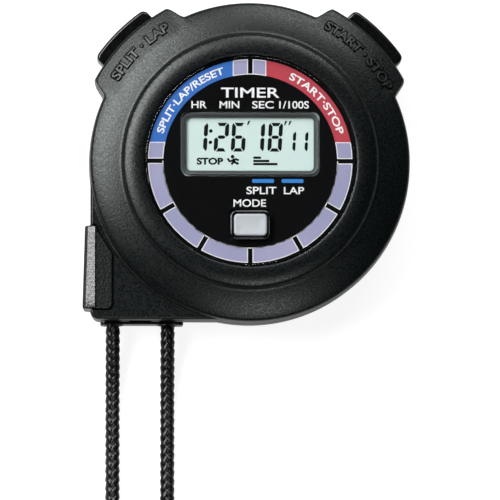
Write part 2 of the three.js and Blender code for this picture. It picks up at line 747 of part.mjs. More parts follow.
function cordStrand(route) {
  return tube(route, CORD_DRAWN_RADIUS, CORD_SIDES, Math.round(route.length * 1.6));
}

// The coil's outer shape, raised a little over the tie that passes under it.
function cordCoil() {
  const { inner, outer, bottom, top, x, y } = COIL;
  const edge = 0.9;
  const coil = turned(
    [
      [inner, bottom + edge], [inner + edge, bottom], [outer - edge, bottom], [outer, bottom + edge],
      [outer, top - edge], [outer - edge, top], [inner + edge, top],
      [inner, top - edge], [inner, bottom + edge],
    ],
    48,
    [x, y],
  );
  const width = TIE.halfWidth + GAP;
  return coil.subtract(block([x, x + outer + 1], [y - width, y + width], [-1, TIE.lift]));
}

// A strap round the coil's turns, with the coil's section as its opening.
function cordTie() {
  // The ring's inside wall at the strap's edges.
  const innerTurn = Math.sqrt(COIL.inner ** 2 - TIE.halfWidth ** 2);
  const [left, right] = [COIL.x + innerTurn - GAP, COIL.x + COIL.outer + GAP];
  const [low, high] = [TIE.lift - GAP, COIL.top + GAP];
  const width = [COIL.y - TIE.halfWidth, COIL.y + TIE.halfWidth];
  const outside = block(
    [left - TIE.thickness, right + TIE.thickness],
    width,
    [low - TIE.thickness, high + TIE.thickness],
  );
  return outside.subtract(block([left, right], [width[0] - 1, width[1] + 1], [low, high]));
}

// ---- Assembly ----

const stopwatch = new THREE.Group();

function place(name, material, shape, parent = stopwatch) {
  const geometry = shape.isBufferGeometry ? shape : geometryOf(shape);
  const mesh = new THREE.Mesh(geometry, material);
  mesh.name = name;
  parent.add(mesh);
}

place('front_case', MATERIALS.case, frontCase());
place('rear_case', MATERIALS.rearCase, rearCase());
REAR_SCREWS.forEach((at, i) => place(`rear_screw_${i + 1}`, MATERIALS.steel, rearScrew(at)));

place('lens', MATERIALS.lens, lens());
place('dial_plate', MATERIALS.dial, dialPlate());
place('lcd_bezel', MATERIALS.bezel, displayBezel());
place('lcd_panel', MATERIALS.display, centredBlock(PANEL.width, PANEL.height, PANEL.bottom, PANEL.top));
place('lcd_reflector', MATERIALS.reflector, reflector());
place('lcd_holder', MATERIALS.holder, displayHolder());
place('zebra_strip_upper', MATERIALS.zebra, zebraStrip(1));
place('zebra_strip_lower', MATERIALS.zebra, zebraStrip(-1));

place('circuit_board', MATERIALS.board, circuitBoard());
BOARD_SCREWS.forEach((at, i) => place(`board_screw_${i + 1}`, MATERIALS.steel, boardScrew(at)));
place('ic_blob', MATERIALS.resin, chipUnderResin());
place('quartz_crystal', MATERIALS.steel, crystalCan());
place('capacitor_1', MATERIALS.ceramic, capacitor(10));
place('capacitor_2', MATERIALS.ceramic, capacitor(13));
place('battery', MATERIALS.steel, battery());
place('battery_holder', MATERIALS.holderBlack, batteryHolder());
place('battery_plus_clip', MATERIALS.steel, batteryPlusClip());
place('battery_minus_spring', MATERIALS.steel, batteryMinusSpring());

Object.entries(BUTTONS).forEach(([name, angle]) => {
  const button = new THREE.Group();
  button.rotation.z = angle;
  stopwatch.add(button);
  place(`${name}_cap`, MATERIALS.cap, pushCap(), button);
  place(`${name}_stem`, MATERIALS.steel, pushStem(), button);
  place(`${name}_clip`, MATERIALS.steel, pushClip(), button);
  place(`${name}_spring`, MATERIALS.steel, pushSpring(), button);
  place(`${name}_contact`, MATERIALS.gold, contactLeaf(), button);
});

place('mode_button', MATERIALS.key, modeKey());
place('mode_pad', MATERIALS.rubber, modePad());

place('corner_cover', MATERIALS.cover, cornerCover());
place('cord_plate', MATERIALS.cap, cordPlate());
place('cord_post', MATERIALS.holderBlack, cordPost());

place('cord_inner_loop', MATERIALS.cord, cordInnerLoop());
place('cord_strand_left', MATERIALS.cord, cordStrand(LEFT_ROUTE));
place('cord_strand_right', MATERIALS.cord, cordStrand(RIGHT_ROUTE));
place('cord_coil', MATERIALS.cord, cordCoil());
place('cord_tie', MATERIALS.tie, cordTie());

export default stopwatch;
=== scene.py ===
import math

import bmesh
import bpy
import numpy as np
from mathutils import Matrix, Vector


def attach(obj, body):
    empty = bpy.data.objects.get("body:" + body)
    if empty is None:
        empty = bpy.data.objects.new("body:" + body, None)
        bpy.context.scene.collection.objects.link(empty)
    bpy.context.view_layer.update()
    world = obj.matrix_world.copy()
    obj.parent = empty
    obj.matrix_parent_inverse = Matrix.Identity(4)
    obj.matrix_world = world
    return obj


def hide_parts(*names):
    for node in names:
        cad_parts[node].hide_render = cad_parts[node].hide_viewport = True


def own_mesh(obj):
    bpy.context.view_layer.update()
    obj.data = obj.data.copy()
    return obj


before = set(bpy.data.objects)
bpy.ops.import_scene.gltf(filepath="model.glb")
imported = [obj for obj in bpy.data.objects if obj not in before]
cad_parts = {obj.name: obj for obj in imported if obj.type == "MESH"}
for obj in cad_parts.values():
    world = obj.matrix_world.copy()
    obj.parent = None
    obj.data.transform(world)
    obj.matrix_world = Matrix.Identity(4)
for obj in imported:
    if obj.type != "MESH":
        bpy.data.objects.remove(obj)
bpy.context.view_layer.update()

MM = 0.001
CASE = "case"  # the body that everything but the moving pieces rides on


# ---- Camera, floor and light ----

AIM = Vector((0, -17.7, 14.3)) * MM
CAMERA_DISTANCE = 2.0
TOWARDS_CORD, TOWARDS_LEFT = math.radians(5), math.radians(1.5)  # how far the camera leans from upright
VIEW_WIDTH = 0.1
SOFTBOX_DISTANCE = 2.6


def add_camera():
    data = bpy.data.cameras.new("camera")
    data.sensor_width = 36
    data.lens = data.sensor_width * CAMERA_DISTANCE / VIEW_WIDTH
    data.clip_start = 0.1
    data.clip_end = 20
    camera = bpy.data.objects.new("camera", data)
    bpy.context.scene.collection.objects.link(camera)
    camera.rotation_euler = (TOWARDS_CORD, -TOWARDS_LEFT, 0)
    camera.location = AIM + camera.rotation_euler.to_matrix() @ Vector((0, 0, CAMERA_DISTANCE))
    bpy.context.scene.camera = camera


def add_softbox(name, azimuth, from_zenith, width, height, power):
    """A softbox facing the dial from a direction, in degrees from +X and from straight up."""
    data = bpy.data.lights.new(name, "AREA")
    data.shape = "RECTANGLE"
    data.size = width
    data.size_y = height
    data.energy = power
    lamp = bpy.data.objects.new(name, data)
    bpy.context.scene.collection.objects.link(lamp)
    down = math.radians(from_zenith)
    direction = Vector((*polar(math.sin(down), azimuth), math.cos(down)))
    lamp.location = direction * SOFTBOX_DISTANCE
    lamp.rotation_mode = "QUATERNION"
    lamp.rotation_quaternion = direction.to_track_quat("Z", "Y")
    lamp.visible_camera = False


def add_floor():
    mesh = bpy.data.meshes.new("floor")
    reach = 12
    corners = [(-reach, -reach, 0), (reach, -reach, 0), (reach, reach, 0), (-reach, reach, 0)]
    mesh.from_pydata(corners, [], [(0, 1, 2, 3)])
    floor = bpy.data.objects.new("floor", mesh)
    bpy.context.scene.collection.objects.link(floor)
    floor.data.materials.append(light_table())


def add_world():
    """White to the camera, and a grey dome, darker overhead, to everything that it lights."""
    world = bpy.data.worlds.new("studio")
    bpy.context.scene.world = world
    world.use_nodes = True
    tree = world.node_tree
    tree.nodes.clear()
    output = tree.nodes.new("ShaderNodeOutputWorld")
    direction = tree.nodes.new("ShaderNodeTexCoord")
    height = tree.nodes.new("ShaderNodeSeparateXYZ")
    dome = tree.nodes.new("ShaderNodeValToRGB")
    tones = ((0.1, (0.12, 0.125, 0.13, 1)), (0.8, (0.008, 0.009, 0.01, 1)))
    for stop, (position, colour) in zip(dome.color_ramp.elements, tones):
        stop.position = position
        stop.color = colour
    lighting = tree.nodes.new("ShaderNodeBackground")
    backdrop = tree.nodes.new("ShaderNodeBackground")
    backdrop.inputs["Color"].default_value = (1, 1, 1, 1)
    ray = tree.nodes.new("ShaderNodeLightPath")
    choose = tree.nodes.new("ShaderNodeMixShader")
    link = tree.links.new
    link(direction.outputs["Generated"], height.inputs["Vector"])
    link(height.outputs["Z"], dome.inputs["Fac"])
    link(dome.outputs["Color"], lighting.inputs["Color"])
    link(ray.outputs["Is Camera Ray"], choose.inputs["Fac"])
    link(lighting.outputs["Background"], choose.inputs[1])
    link(backdrop.outputs["Background"], choose.inputs[2])
    link(choose.outputs["Shader"], output.inputs["Surface"])


# ---- Materials ----


class Finish:
    """A Principled material and short ways to add its nodes. Textures are laid out in metres."""

    def __init__(self, name, color, roughness, metallic=0.0):
        self.material = bpy.data.materials.new(name)
        self.material.use_nodes = True
        self.tree = self.material.node_tree
        self.shader = self.tree.nodes["Principled BSDF"]
        self.set("Base Color", (*color, 1))
        self.set("Roughness", roughness)
        self.set("Metallic", metallic)
        self.place = self.node("ShaderNodeTexCoord").outputs["Object"]
        self.normal = None

    def node(self, kind, **values):
        made = self.tree.nodes.new(kind)
        for name, value in values.items():
            setattr(made, name, value)
        return made

    def set(self, name, value):
        self.shader.inputs[name].default_value = value

    def link(self, source, target):
        self.tree.links.new(source, target)

    def noise(self, size, detail=3.0, stretch=(1, 1, 1)):
        """Noise between 0 and 1 whose features are about `size` millimetres."""
        made = self.node("ShaderNodeTexNoise")
        made.inputs["Scale"].default_value = 1 / (size * MM)
        made.inputs["Detail"].default_value = detail
        scale = self.node("ShaderNodeVectorMath", operation="MULTIPLY")
        scale.inputs[1].default_value = stretch
        self.link(self.place, scale.inputs[0])
        self.link(scale.outputs["Vector"], made.inputs["Vector"])
        return made.outputs["Fac"]

    def cells(self, size, feature="F1", randomness=1.0):
        """Distance from the middles of cells about `size` millimetres across."""
        made = self.node("ShaderNodeTexVoronoi", feature=feature)
        made.inputs["Scale"].default_value = 1 / (size * MM)
        made.inputs["Randomness"].default_value = randomness
        self.link(self.place, made.inputs["Vector"])
        return made.outputs["Distance"]

    def ramp(self, value, low, high, start=0.0, end=1.0):
        """`value` taken from low..high to start..end."""
        made = self.node("ShaderNodeMapRange")
        for name, number in zip(("From Min", "From Max", "To Min", "To Max"), (low, high, start, end)):
            made.inputs[name].default_value = number
        self.link(value, made.inputs["Value"])
        return made.outputs["Result"]

    def blend(self, factor, first, second):
        """A colour between two, each a colour or an output."""
        made = self.node("ShaderNodeMix", data_type="RGBA")
        self.link(factor, made.inputs["Factor"])
        for socket, colour in zip((made.inputs[6], made.inputs[7]), (first, second)):
            if isinstance(colour, tuple):
                socket.default_value = (*colour, 1)
            else:
                self.link(colour, socket)
        return made.outputs[2]

    def tint(self, factor, first, second):
        self.link(self.blend(factor, first, second), self.shader.inputs["Base Color"])

    def vary_roughness(self, value, low, high, start, end):
        self.link(self.ramp(value, low, high, start, end), self.shader.inputs["Roughness"])

    def bump(self, height, depth):
        """Raises the surface by `depth` millimetres where height is 1."""
        made = self.node("ShaderNodeBump")
        made.inputs["Strength"].default_value = 1
        made.inputs["Distance"].default_value = depth * MM
        self.link(height, made.inputs["Height"])
        if self.normal is not None:
            self.link(self.normal, made.inputs["Normal"])
        self.normal = made.outputs["Normal"]
        self.link(self.normal, self.shader.inputs["Normal"])


def light_table():
    """A sheet that looks evenly white from above and throws little of its light back on the object."""
    sheet = Finish("light_table", (0.4, 0.4, 0.4), 0.9)
    sheet.set("Specular IOR Level", 0.2)
    sheet.set("Emission Color", (1, 1, 1, 1))
    seen = sheet.node("ShaderNodeLightPath").outputs["Is Camera Ray"]
    sheet.link(sheet.ramp(seen, 0, 1, 0.3, 0.86), sheet.shader.inputs["Emission Strength"])
    grain = sheet.noise(0.6)
    sheet.tint(sheet.ramp(grain, 0.3, 0.7), (0.39, 0.39, 0.39), (0.41, 0.41, 0.41))
    return sheet.material


def spark_plastic(name, dark, light, roughness):
    """Moulded plastic with the fine leathery texture of a spark-eroded tool."""
    grain, depth = 0.36, 0.019
    plastic = Finish(name, dark, roughness)
    plastic.set("Specular IOR Level", 0.42)
    plastic.set("Specular Tint", (0.94, 1, 0.975, 1))
    leather = plastic.cells(grain, feature="SMOOTH_F1")
    fine = plastic.noise(grain / 2.5, detail=2)
    wear = plastic.noise(9, detail=5)
    plastic.tint(plastic.ramp(wear, 0.35, 0.7), dark, light)
    plastic.vary_roughness(leather, 0.1, 0.6, roughness - 0.06, roughness + 0.08)
    plastic.bump(leather, depth)
    plastic.bump(fine, depth * 0.45)
    return plastic.material


def clouded(name, dark, light, cloud, grain, roughness, depth, gloss=0.5):
    """Two tones in soft clouds under a finer grain. Each texture is its size in mm and its detail."""
    surface = Finish(name, dark, roughness[0])
    surface.set("Specular IOR Level", gloss)
    fine = surface.noise(*grain)
    surface.tint(surface.ramp(surface.noise(*cloud), 0.35, 0.7), dark, light)
    surface.vary_roughness(fine, 0.3, 0.7, *roughness)
    surface.bump(fine, depth)
    return surface.material


def smooth_plastic(name, dark, light, roughness):
    """Polished moulded plastic with faint flow marks and fine scratches."""
    return clouded(name, dark, light, (6, 4), (0.5, 3), (roughness - 0.04, roughness + 0.06), 0.003)


def matt_black():
    """The dial's black print: deep, hardly reflecting, with a faint cloudiness."""
    dark, light = (0.0005, 0.0006, 0.0009), (0.0011, 0.0012, 0.0017)
    return clouded("dial_black", dark, light, (5, 4), (0.15, 2), (0.45, 0.6), 0.003, gloss=0.06)


def cord_fibre():
    dark, light = (0.0012, 0.0012, 0.0013), (0.004, 0.004, 0.0042)
    return clouded("cord_fibre", dark, light, (0.12, 2), (0.12, 2), (0.2, 0.4), 0.02)


def coarse_grip(name, dark, light, roughness):
    """The rough grain of a part that is meant to be gripped."""
    grip = Finish(name, dark, roughness)
    grip.set("Specular IOR Level", 0.8)
    grain = grip.cells(0.5)
    fine = grip.noise(0.2)
    grip.tint(grip.ramp(grain, 0.1, 0.6), dark, light)
    grip.vary_roughness(fine, 0.3, 0.7, roughness - 0.05, roughness + 0.1)
    grip.bump(grain, 0.035)
    grip.bump(fine, 0.01)
    return grip.material


def print_ink(name, color, roughness=0.45, gloss=0.5):
    """Screen-printed ink, slightly uneven."""
    ink = Finish(name, color, roughness)
    ink.set("Specular IOR Level", gloss)
    patches = ink.noise(0.35, detail=3)
    shaded = tuple(c * 0.88 for c in color)
    ink.tint(ink.ramp(patches, 0.3, 0.65), shaded, color)
    ink.vary_roughness(patches, 0.3, 0.7, roughness - 0.05, roughness + 0.1)
    ink.bump(patches, 0.002)
    return ink.material


def metallic_ink(name, first, second):
    """Ink with fine metal flake, with painted sheen drifting round the dial and a painted glint at each
    flake.
    """
    ink = Finish(name, first, 0.4, 0.25)
    painted_sheen_drift = ink.noise(14, detail=1)
    flake = ink.cells(0.09)
    # The drift between the two colours is painted sheen, lighter towards the second colour.
    tone = ink.blend(ink.ramp(painted_sheen_drift, 0.35, 0.65), first, second)
    # Each flake's middle is tinted towards a lighter colour: a painted glint.
    painted_flake_glint = tuple(min(1, c * 1.15) for c in second)
    ink.tint(ink.ramp(flake, 0.75, 0.2, 0, 0.5), tone, painted_flake_glint)
    ink.vary_roughness(flake, 0.1, 0.7, 0.3, 0.5)
    return ink.material


def window_pane():
    """A clear hard-coated sheet: what is behind it, with a little mirrored on top."""
    pane = Finish("window_pane", (1, 1, 1), 0.05)
    smudge = pane.noise(7, detail=4)
    clear = pane.node("ShaderNodeBsdfTransparent")
    clear.inputs["Color"].default_value = (0.985, 0.99, 0.99, 1)
    mirror = pane.node("ShaderNodeBsdfAnisotropic")
    pane.link(pane.ramp(smudge, 0.35, 0.7, 0.02, 0.09), mirror.inputs["Roughness"])
    slant = pane.node("ShaderNodeLayerWeight")
    steep = pane.node("ShaderNodeMath", operation="POWER")
    steep.inputs[1].default_value = 4  # so the mirroring only grows when the sheet is seen at a low angle
    pane.link(slant.outputs["Facing"], steep.inputs[0])
    mix = pane.node("ShaderNodeMixShader")
    pane.link(pane.ramp(steep.outputs[0], 0, 1, 0.028, 0.8), mix.inputs["Fac"])
    pane.link(clear.outputs["BSDF"], mix.inputs[1])
    pane.link(mirror.outputs["BSDF"], mix.inputs[2])
    pane.link(mix.outputs["Shader"], pane.tree.nodes["Material Output"].inputs["Surface"])
    pane.tree.nodes.remove(pane.shader)
    return pane.material


def display_film():
    """The pale reflective film behind the liquid crystal."""
    film = Finish("display_film", (0.60, 0.74, 0.70), 0.35)
    grain = film.noise(0.12, detail=2)
    cloud = film.noise(9, detail=2)
    tone = film.blend(film.ramp(cloud, 0.35, 0.65), (0.60, 0.74, 0.71), (0.64, 0.76, 0.72))
    film.tint(film.ramp(grain, 0.3, 0.7, 0, 0.25), tone, (0.52, 0.66, 0.63))
    film.vary_roughness(grain, 0.3, 0.7, 0.3, 0.42)
    return film.material


def brushed_steel(name="steel", color=(0.56, 0.57, 0.58), roughness=0.28):
    steel = Finish(name, color, roughness, 1.0)
    brush = steel.noise(0.25, detail=3, stretch=(1, 1, 0.15))
    stain = steel.noise(3, detail=4)
    steel.tint(steel.ramp(stain, 0.35, 0.75), color, tuple(c * 0.75 for c in color))
    steel.vary_roughness(brush, 0.3, 0.7, roughness - 0.08, roughness + 0.12)
    steel.bump(brush, 0.006)
    return steel.material


def soft_rubber(name, dark, light):
    rubber = Finish(name, dark, 0.75)
    bloom = rubber.noise(0.8, detail=4)
    rubber.tint(rubber.ramp(bloom, 0.35, 0.7), dark, light)
    rubber.vary_roughness(bloom, 0.3, 0.7, 0.65, 0.85)
    rubber.bump(rubber.noise(0.1), 0.01)
    return rubber.material


def board_resin():
    board = Finish("board_resin", (0.02, 0.11, 0.05), 0.4)
    weave = board.cells(0.35, randomness=0.0)
    stain = board.noise(4, detail=3)
    board.tint(board.ramp(stain, 0.35, 0.7), (0.015, 0.09, 0.04), (0.025, 0.13, 0.06))
    board.vary_roughness(stain, 0.3, 0.7, 0.35, 0.5)
    board.bump(weave, 0.01)
    return board.material


def woven_band():
    """Tightly woven black tape."""
    band = Finish("woven_band", (0.008, 0.008, 0.009), 0.7)
    weave = band.node("ShaderNodeTexWave", wave_type="BANDS", bands_direction="Z")
    weave.inputs["Scale"].default_value = 1 / (3 * MM)
    weave.inputs["Distortion"].default_value = 1.5
    weave.inputs["Detail"].default_value = 2
    band.link(band.place, weave.inputs["Vector"])
    threads = weave.outputs["Fac"]
    band.tint(threads, (0.006, 0.006, 0.007), (0.02, 0.02, 0.021))
    band.vary_roughness(threads, 0, 1, 0.8, 0.6)
    band.bump(threads, 0.05)
    return band.material


# ---- Shapes: every length below is in millimetres ----


def solid(points, faces):
    """A closed mesh with its faces pointing out, ready for joins and cuts."""
    mesh = bpy.data.meshes.new("solid")
    mesh.from_pydata([tuple(p) for p in points], [], faces)
    work = bmesh.new()
    work.from_mesh(mesh)
    bmesh.ops.remove_doubles(work, verts=work.verts, dist=1e-5)
    bmesh.ops.recalc_face_normals(work, faces=work.faces)
    work.to_mesh(mesh)
    work.free()
    made = bpy.data.objects.new("solid", mesh)
    bpy.context.scene.collection.objects.link(made)
    return made


def combined(base, others, operation):
    """`base` after joining it with other solids or cutting them out of it. The others are used up."""
    for other in others:
        tool = base.modifiers.new("tool", "BOOLEAN")
        tool.operation = operation
        tool.solver = "MANIFOLD"
        tool.object = other
    graph = bpy.context.evaluated_depsgraph_get()
    result = bpy.data.meshes.new_from_object(base.evaluated_get(graph))
    base.modifiers.clear()
    base.data = result
    for other in others:
        bpy.data.objects.remove(other)
    return base


def joined(base, *others):
    return combined(base, others, "UNION")


def cut(base, *others):
    return combined(base, others, "DIFFERENCE")


def kept(base, other):
    return combined(base, [other], "INTERSECT")


def together(*solids):
    """Separate solids as one mesh, where nothing needs to be joined."""
    points, faces = [], []
    for part in solids:
        start = len(points)
        points.extend(tuple(v.co) for v in part.data.vertices)
        faces.extend(tuple(i + start for i in face.vertices) for face in part.data.polygons)
        bpy.data.objects.remove(part)
    return solid(points, faces)


def moved(part, matrix):
    part.data.transform(matrix)
    return part


def turned_to(part, degrees):
    return moved(part, Matrix.Rotation(math.radians(degrees), 4, "Z"))


def piece(part, name, material, replaces=(), body=CASE, sharp=32):
    """Makes a solid a shown piece: to metres, shaded, painted and riding on its body."""
    part.name = part.data.name = name
    part.data.transform(Matrix.Scale(MM, 4))
    part.data.materials.clear()
    part.data.materials.append(material)
    part.data.polygons.foreach_set("material_index", [0] * len(part.data.polygons))
    shade(part.data, sharp)
    weighting = part.modifiers.new("flat_faces_stay_flat", "WEIGHTED_NORMAL")
    weighting.keep_sharp = True
    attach(part, body)
    if replaces:
        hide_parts(*replaces)
    return part


def shade(mesh, sharp):
    """Smooth shading, except across edges sharper than this many degrees."""
    mesh.polygons.foreach_set("use_smooth", [True] * len(mesh.polygons))
    work = bmesh.new()
    work.from_mesh(mesh)
    for edge in work.edges:
        edge.smooth = len(edge.link_faces) == 2 and edge.calc_face_angle(0) < math.radians(sharp)
    work.to_mesh(mesh)
    work.free()


def rings_solid(rings, closed=False):
    """Rings of equally many points joined one to the next, with the ends filled or joined."""
    sides = len(rings[0])
    points = [p for ring in rings for p in ring]
    faces = []
    pairs = len(rings) if closed else len(rings) - 1
    for i in range(pairs):
        here, there = i * sides, (i + 1) % len(rings) * sides
        for j in range(sides):
            k = (j + 1) % sides
            faces.append((here + j, here + k, there + k, there + j))
    if not closed:
        faces.append(tuple(range(sides))[::-1])
        faces.append(tuple(range(len(points) - sides, len(points))))
    return solid(points, faces)


def polar(radius, degrees, centre=(0, 0)):
    angle = math.radians(degrees)
    return (centre[0] + radius * math.cos(angle), centre[1] + radius * math.sin(angle))


def arc(radius, first, last, steps, centre=(0, 0)):
    return [polar(radius, first + (last - first) * i / steps, centre) for i in range(steps + 1)]


def circle(radius, sides=32, centre=(0, 0)):
    return arc(radius, 0, 360, sides, centre)[:-1]


def rounded_rectangle(width, height, radius, centre=(0, 0), steps=8):
    w, h = width / 2 - radius, height / 2 - radius
    corners = [(w, h, 0), (-w, h, 90), (-w, -h, 180), (w, -h, 270)]
    return [
        p
        for x, y, first in corners
        for p in arc(radius, first, first + 90, steps, (centre[0] + x, centre[1] + y))
    ]


def filleted(points, steps=5, closed=False):
    """A line of (x, y) or (x, y, radius) points with its corners rounded by the radii given."""
    made = []
    count = len(points)
    for i, point in enumerate(points):
        here = Vector(point[:2])
        radius = point[2] if len(point) > 2 else 0
        if radius == 0 or (not closed and i in (0, count - 1)):
            made.append(tuple(here))
            continue
        before = (Vector(points[i - 1][:2]) - here).normalized()
        after = (Vector(points[(i + 1) % count][:2]) - here).normalized()
        half = before.angle(after) / 2
        reach = radius / math.tan(half)
        middle = here + (before + after).normalized() * (radius / math.sin(half))
        start, end = here + before * reach - middle, here + after * reach - middle
        sweep = start.angle_signed(end)
        for step in range(steps + 1):
            angle = -sweep * step / steps
            made.append((
                middle.x + start.x * math.cos(angle) - start.y * math.sin(angle),
                middle.y + start.x * math.sin(angle) + start.y * math.cos(angle),
            ))
    return made


def inset(outline, distance):
    """A closed outline, anticlockwise, with its sides moved inwards."""
    made = []
    count = len(outline)
    for i in range(count):
        before, here, after = (Vector(outline[(i + k) % count]) for k in (-1, 0, 1))
        first = Vector((before.y - here.y, here.x - before.x)).normalized()
        second = Vector((here.y - after.y, after.x - here.x)).normalized()
        between = (first + second).normalized()
        made.append(tuple(here + between * distance / max(between.dot(first), 0.4)))
    return made


def prism(outline, bottom, top, edge=0.0, foot=0.0, steps=4):
    """A flat outline raised between two heights, with its upper and lower edges rounded."""
    levels = [(0, bottom)]
    if foot:
        levels = [(foot * (1 - math.sin(a)), bottom + foot * (1 - math.cos(a))) for a in quarter(steps)]
    if edge:
        levels += [(edge * (1 - math.cos(a)), top - edge * (1 - math.sin(a))) for a in quarter(steps)]
    else:
        levels.append((0, top))
    return rings_solid([[(x, y, z) for x, y in inset(outline, d)] for d, z in levels])


def quarter(steps):
    return [math.pi / 2 * i / steps for i in range(steps + 1)]


def turned(profile, sides=64, centre=(0, 0)):
    """A solid turned about an upright axis from (radius, height) points; radius 0 makes a pole."""
    def ring(radius, height):
        return [(*p, height) for p in circle(max(radius, 1e-4), sides, centre)]

    closed = profile[0] == profile[-1]
    rings = [ring(r, z) for r, z in (profile[:-1] if closed else profile)]
    return rings_solid(rings, closed)


def rod(radius, bottom, top, sides=24, centre=(0, 0)):
    return turned([(0, bottom), (radius, bottom), (radius, top), (0, top)], sides, centre)


def box(x, y, z):
    return prism([(x[0], y[0]), (x[1], y[0]), (x[1], y[1]), (x[0], y[1])], *z)


def along_x(part, x, z):
    """A solid turned about the Z axis laid over to lie along X from x."""
    return moved(part, Matrix.Translation((x, 0, z)) @ Matrix.Rotation(math.pi / 2, 4, "Y"))


def along_y(part, x, y, z):
    """A solid laid over so that what was its top faces the cord."""
    return moved(part, Matrix.Translation((x, y, z)) @ Matrix.Rotation(math.pi / 2, 4, "X"))


def unit(vectors):
    return vectors / np.linalg.norm(vectors, axis=-1, keepdims=True)


def swept(line, across, over, half_width, half_height, sides):
    """A solid with an oval section along a line of points, given two directions across it at each."""
    turns = [2 * math.pi * k / sides for k in range(sides)]
    edges = [line + half_width * math.cos(a) * across + half_height * math.sin(a) * over for a in turns]
    return rings_solid(np.stack(edges, axis=1))


# ---- The neck cord ----

CORD_RADIUS = 1.5
CORD_RISE = 4.5  # height at which the cord leaves the case
CORD_MOUTHS = (-27.3, -16.3)
# The cord's fall from the case to the ground, as (y, height), and the way each strand goes on from there.
FALL = [(-31.2, CORD_RISE), (-34, 4.4), (-38, 3.7), (-43, 2.3), (-48, 1.65), (-54, CORD_RADIUS)]
LEFT_LEVEL = [(-62, CORD_RADIUS), (-70, CORD_RADIUS), (-78, CORD_RADIUS), (-86.6, CORD_RADIUS)]
RIGHT_LEVEL = [(-60, CORD_RADIUS), (-66, CORD_RADIUS), (-70.4, 1.75)]
LEFT_ROUTE = [(CORD_MOUTHS[0], y, z) for y, z in FALL + LEFT_LEVEL]
RIGHT_ROUTE = [(CORD_MOUTHS[1], y, z) for y, z in FALL + RIGHT_LEVEL]
RIGHT_ROUTE += [(-15.94, -72.6, 2.1), (-14.8, -74.6, 2.6), (-13.9, -75.5, 2.85)]
COIL_EXIT = [(-10.96, -76.8, 3.7), (-12.6, -76.3, 3.3)]
COIL_CENTRE = Vector((-4.8, -99, 0))
COIL_OUTER = 22.5  # radius of the outermost turn's centreline
COIL_INNER = 10.5
LOWER_TURNS = 4
UPPER_TURNS = 3  # whole turns, after which the cord goes on to where it leaves the coil
COIL_END = math.radians(100)  # direction from the coil's centre of the place where the cord leaves it
CLIMB = math.radians(130)  # how far round the coil the cord takes to climb to its second layer
TIE_LIFT, TIE_REACH = 0.95, 8  # how much the tie lifts the turns, and over what length of cord
BRAID_LEAD = 7.0  # length of cord in which a strand goes once round
BRAID_STRANDS = 4  # in each direction
VISIBLE_END = -66.5  # the strands are modelled more finely up to here


def coil_points():
    """The cord's way inwards through the lower layer and out again through the upper one."""
    step = math.radians(3)
    start = math.pi
    width, wound = COIL_OUTER - COIL_INNER, 2 * math.pi * LOWER_TURNS
    count = round(wound / step)
    lower = [(start + i * step, COIL_OUTER - width * i * step / wound, 0.0) for i in range(count)]
    base = start + wound
    climb = [(base + i * step, COIL_INNER, i * step / CLIMB) for i in range(round(CLIMB / step))]
    base += CLIMB
    end = COIL_END + 2 * math.pi * math.ceil((base - COIL_END) / (2 * math.pi) + UPPER_TURNS)
    steps = round((end - base) / step)
    share = np.arange(steps + 1) / steps
    upper = [(base + (end - base) * part, COIL_INNER + width * part, 1.0) for part in share]
    points = []
    for angle, radius, layer in lower + climb + upper:
        from_tie = radius * ((angle + math.pi) % (2 * math.pi) - math.pi)
        ease = layer * layer * (3 - 2 * layer)
        height = CORD_RADIUS + 2 * CORD_RADIUS * ease + TIE_LIFT * math.exp(-((from_tie / TIE_REACH) ** 2))
        points.append(COIL_CENTRE + Vector((radius * math.cos(angle), radius * math.sin(angle), height)))
    return points


def distances(line):
    """How far along a line of points each of them is."""
    return np.concatenate([[0], np.cumsum(np.linalg.norm(np.diff(line, axis=0), axis=1))])


def spline(points, spacing):
    """A smooth curve through the given points, as close points and how far along each is."""
    p = np.array([tuple(q) for q in points], float)
    p = np.vstack([2 * p[0] - p[1], p, 2 * p[-1] - p[-2]])
    fine = []
    for i in range(1, len(p) - 2):
        count = max(2, math.ceil(np.linalg.norm(p[i + 1] - p[i]) / spacing * 4))
        t = np.arange(count)[:, None] / count
        a, b, c, d = p[i - 1], p[i], p[i + 1], p[i + 2]
        square, cube = 2 * a - 5 * b + 4 * c - d, 3 * b - a - 3 * c + d
        fine.append(b + 0.5 * ((c - a) * t + square * t**2 + cube * t**3))
    fine = np.vstack(fine + [p[-2][None]])
    return fine, distances(fine)


def resampled(points, along, stations):
    return np.stack([np.interp(stations, along, points[:, k]) for k in range(3)], axis=1)


def braid_strand(line, along, side, over, way, phase):
    """One strand: a helix that goes over and under those running the other way."""
    angle = way * 2 * math.pi * along / BRAID_LEAD + phase
    radius = 0.98 + way * 0.2 * np.cos(2 * (angle - math.pi / 4))
    radial = np.cos(angle)[:, None] * side + np.sin(angle)[:, None] * over
    middle = line + radius[:, None] * radial
    across = unit(np.cross(np.gradient(middle, axis=0), radial))
    return swept(middle, across, radial, 0.7, 0.42, 6)


def braid(line):
    """The cord along a centreline: a core, four strands winding one way and four the other."""
    tangent = unit(np.gradient(line, axis=0))
    side = unit(np.cross(tangent, (0, 0, 1)))
    over = np.cross(side, tangent)
    parts = [swept(line[::2], side[::2], over[::2], 0.75, 0.75, 8)]
    for k in range(BRAID_STRANDS):
        phase = 2 * math.pi * k / BRAID_STRANDS
        parts += [braid_strand(line, distances(line), side, over, way, phase) for way in (1, -1)]
    return parts


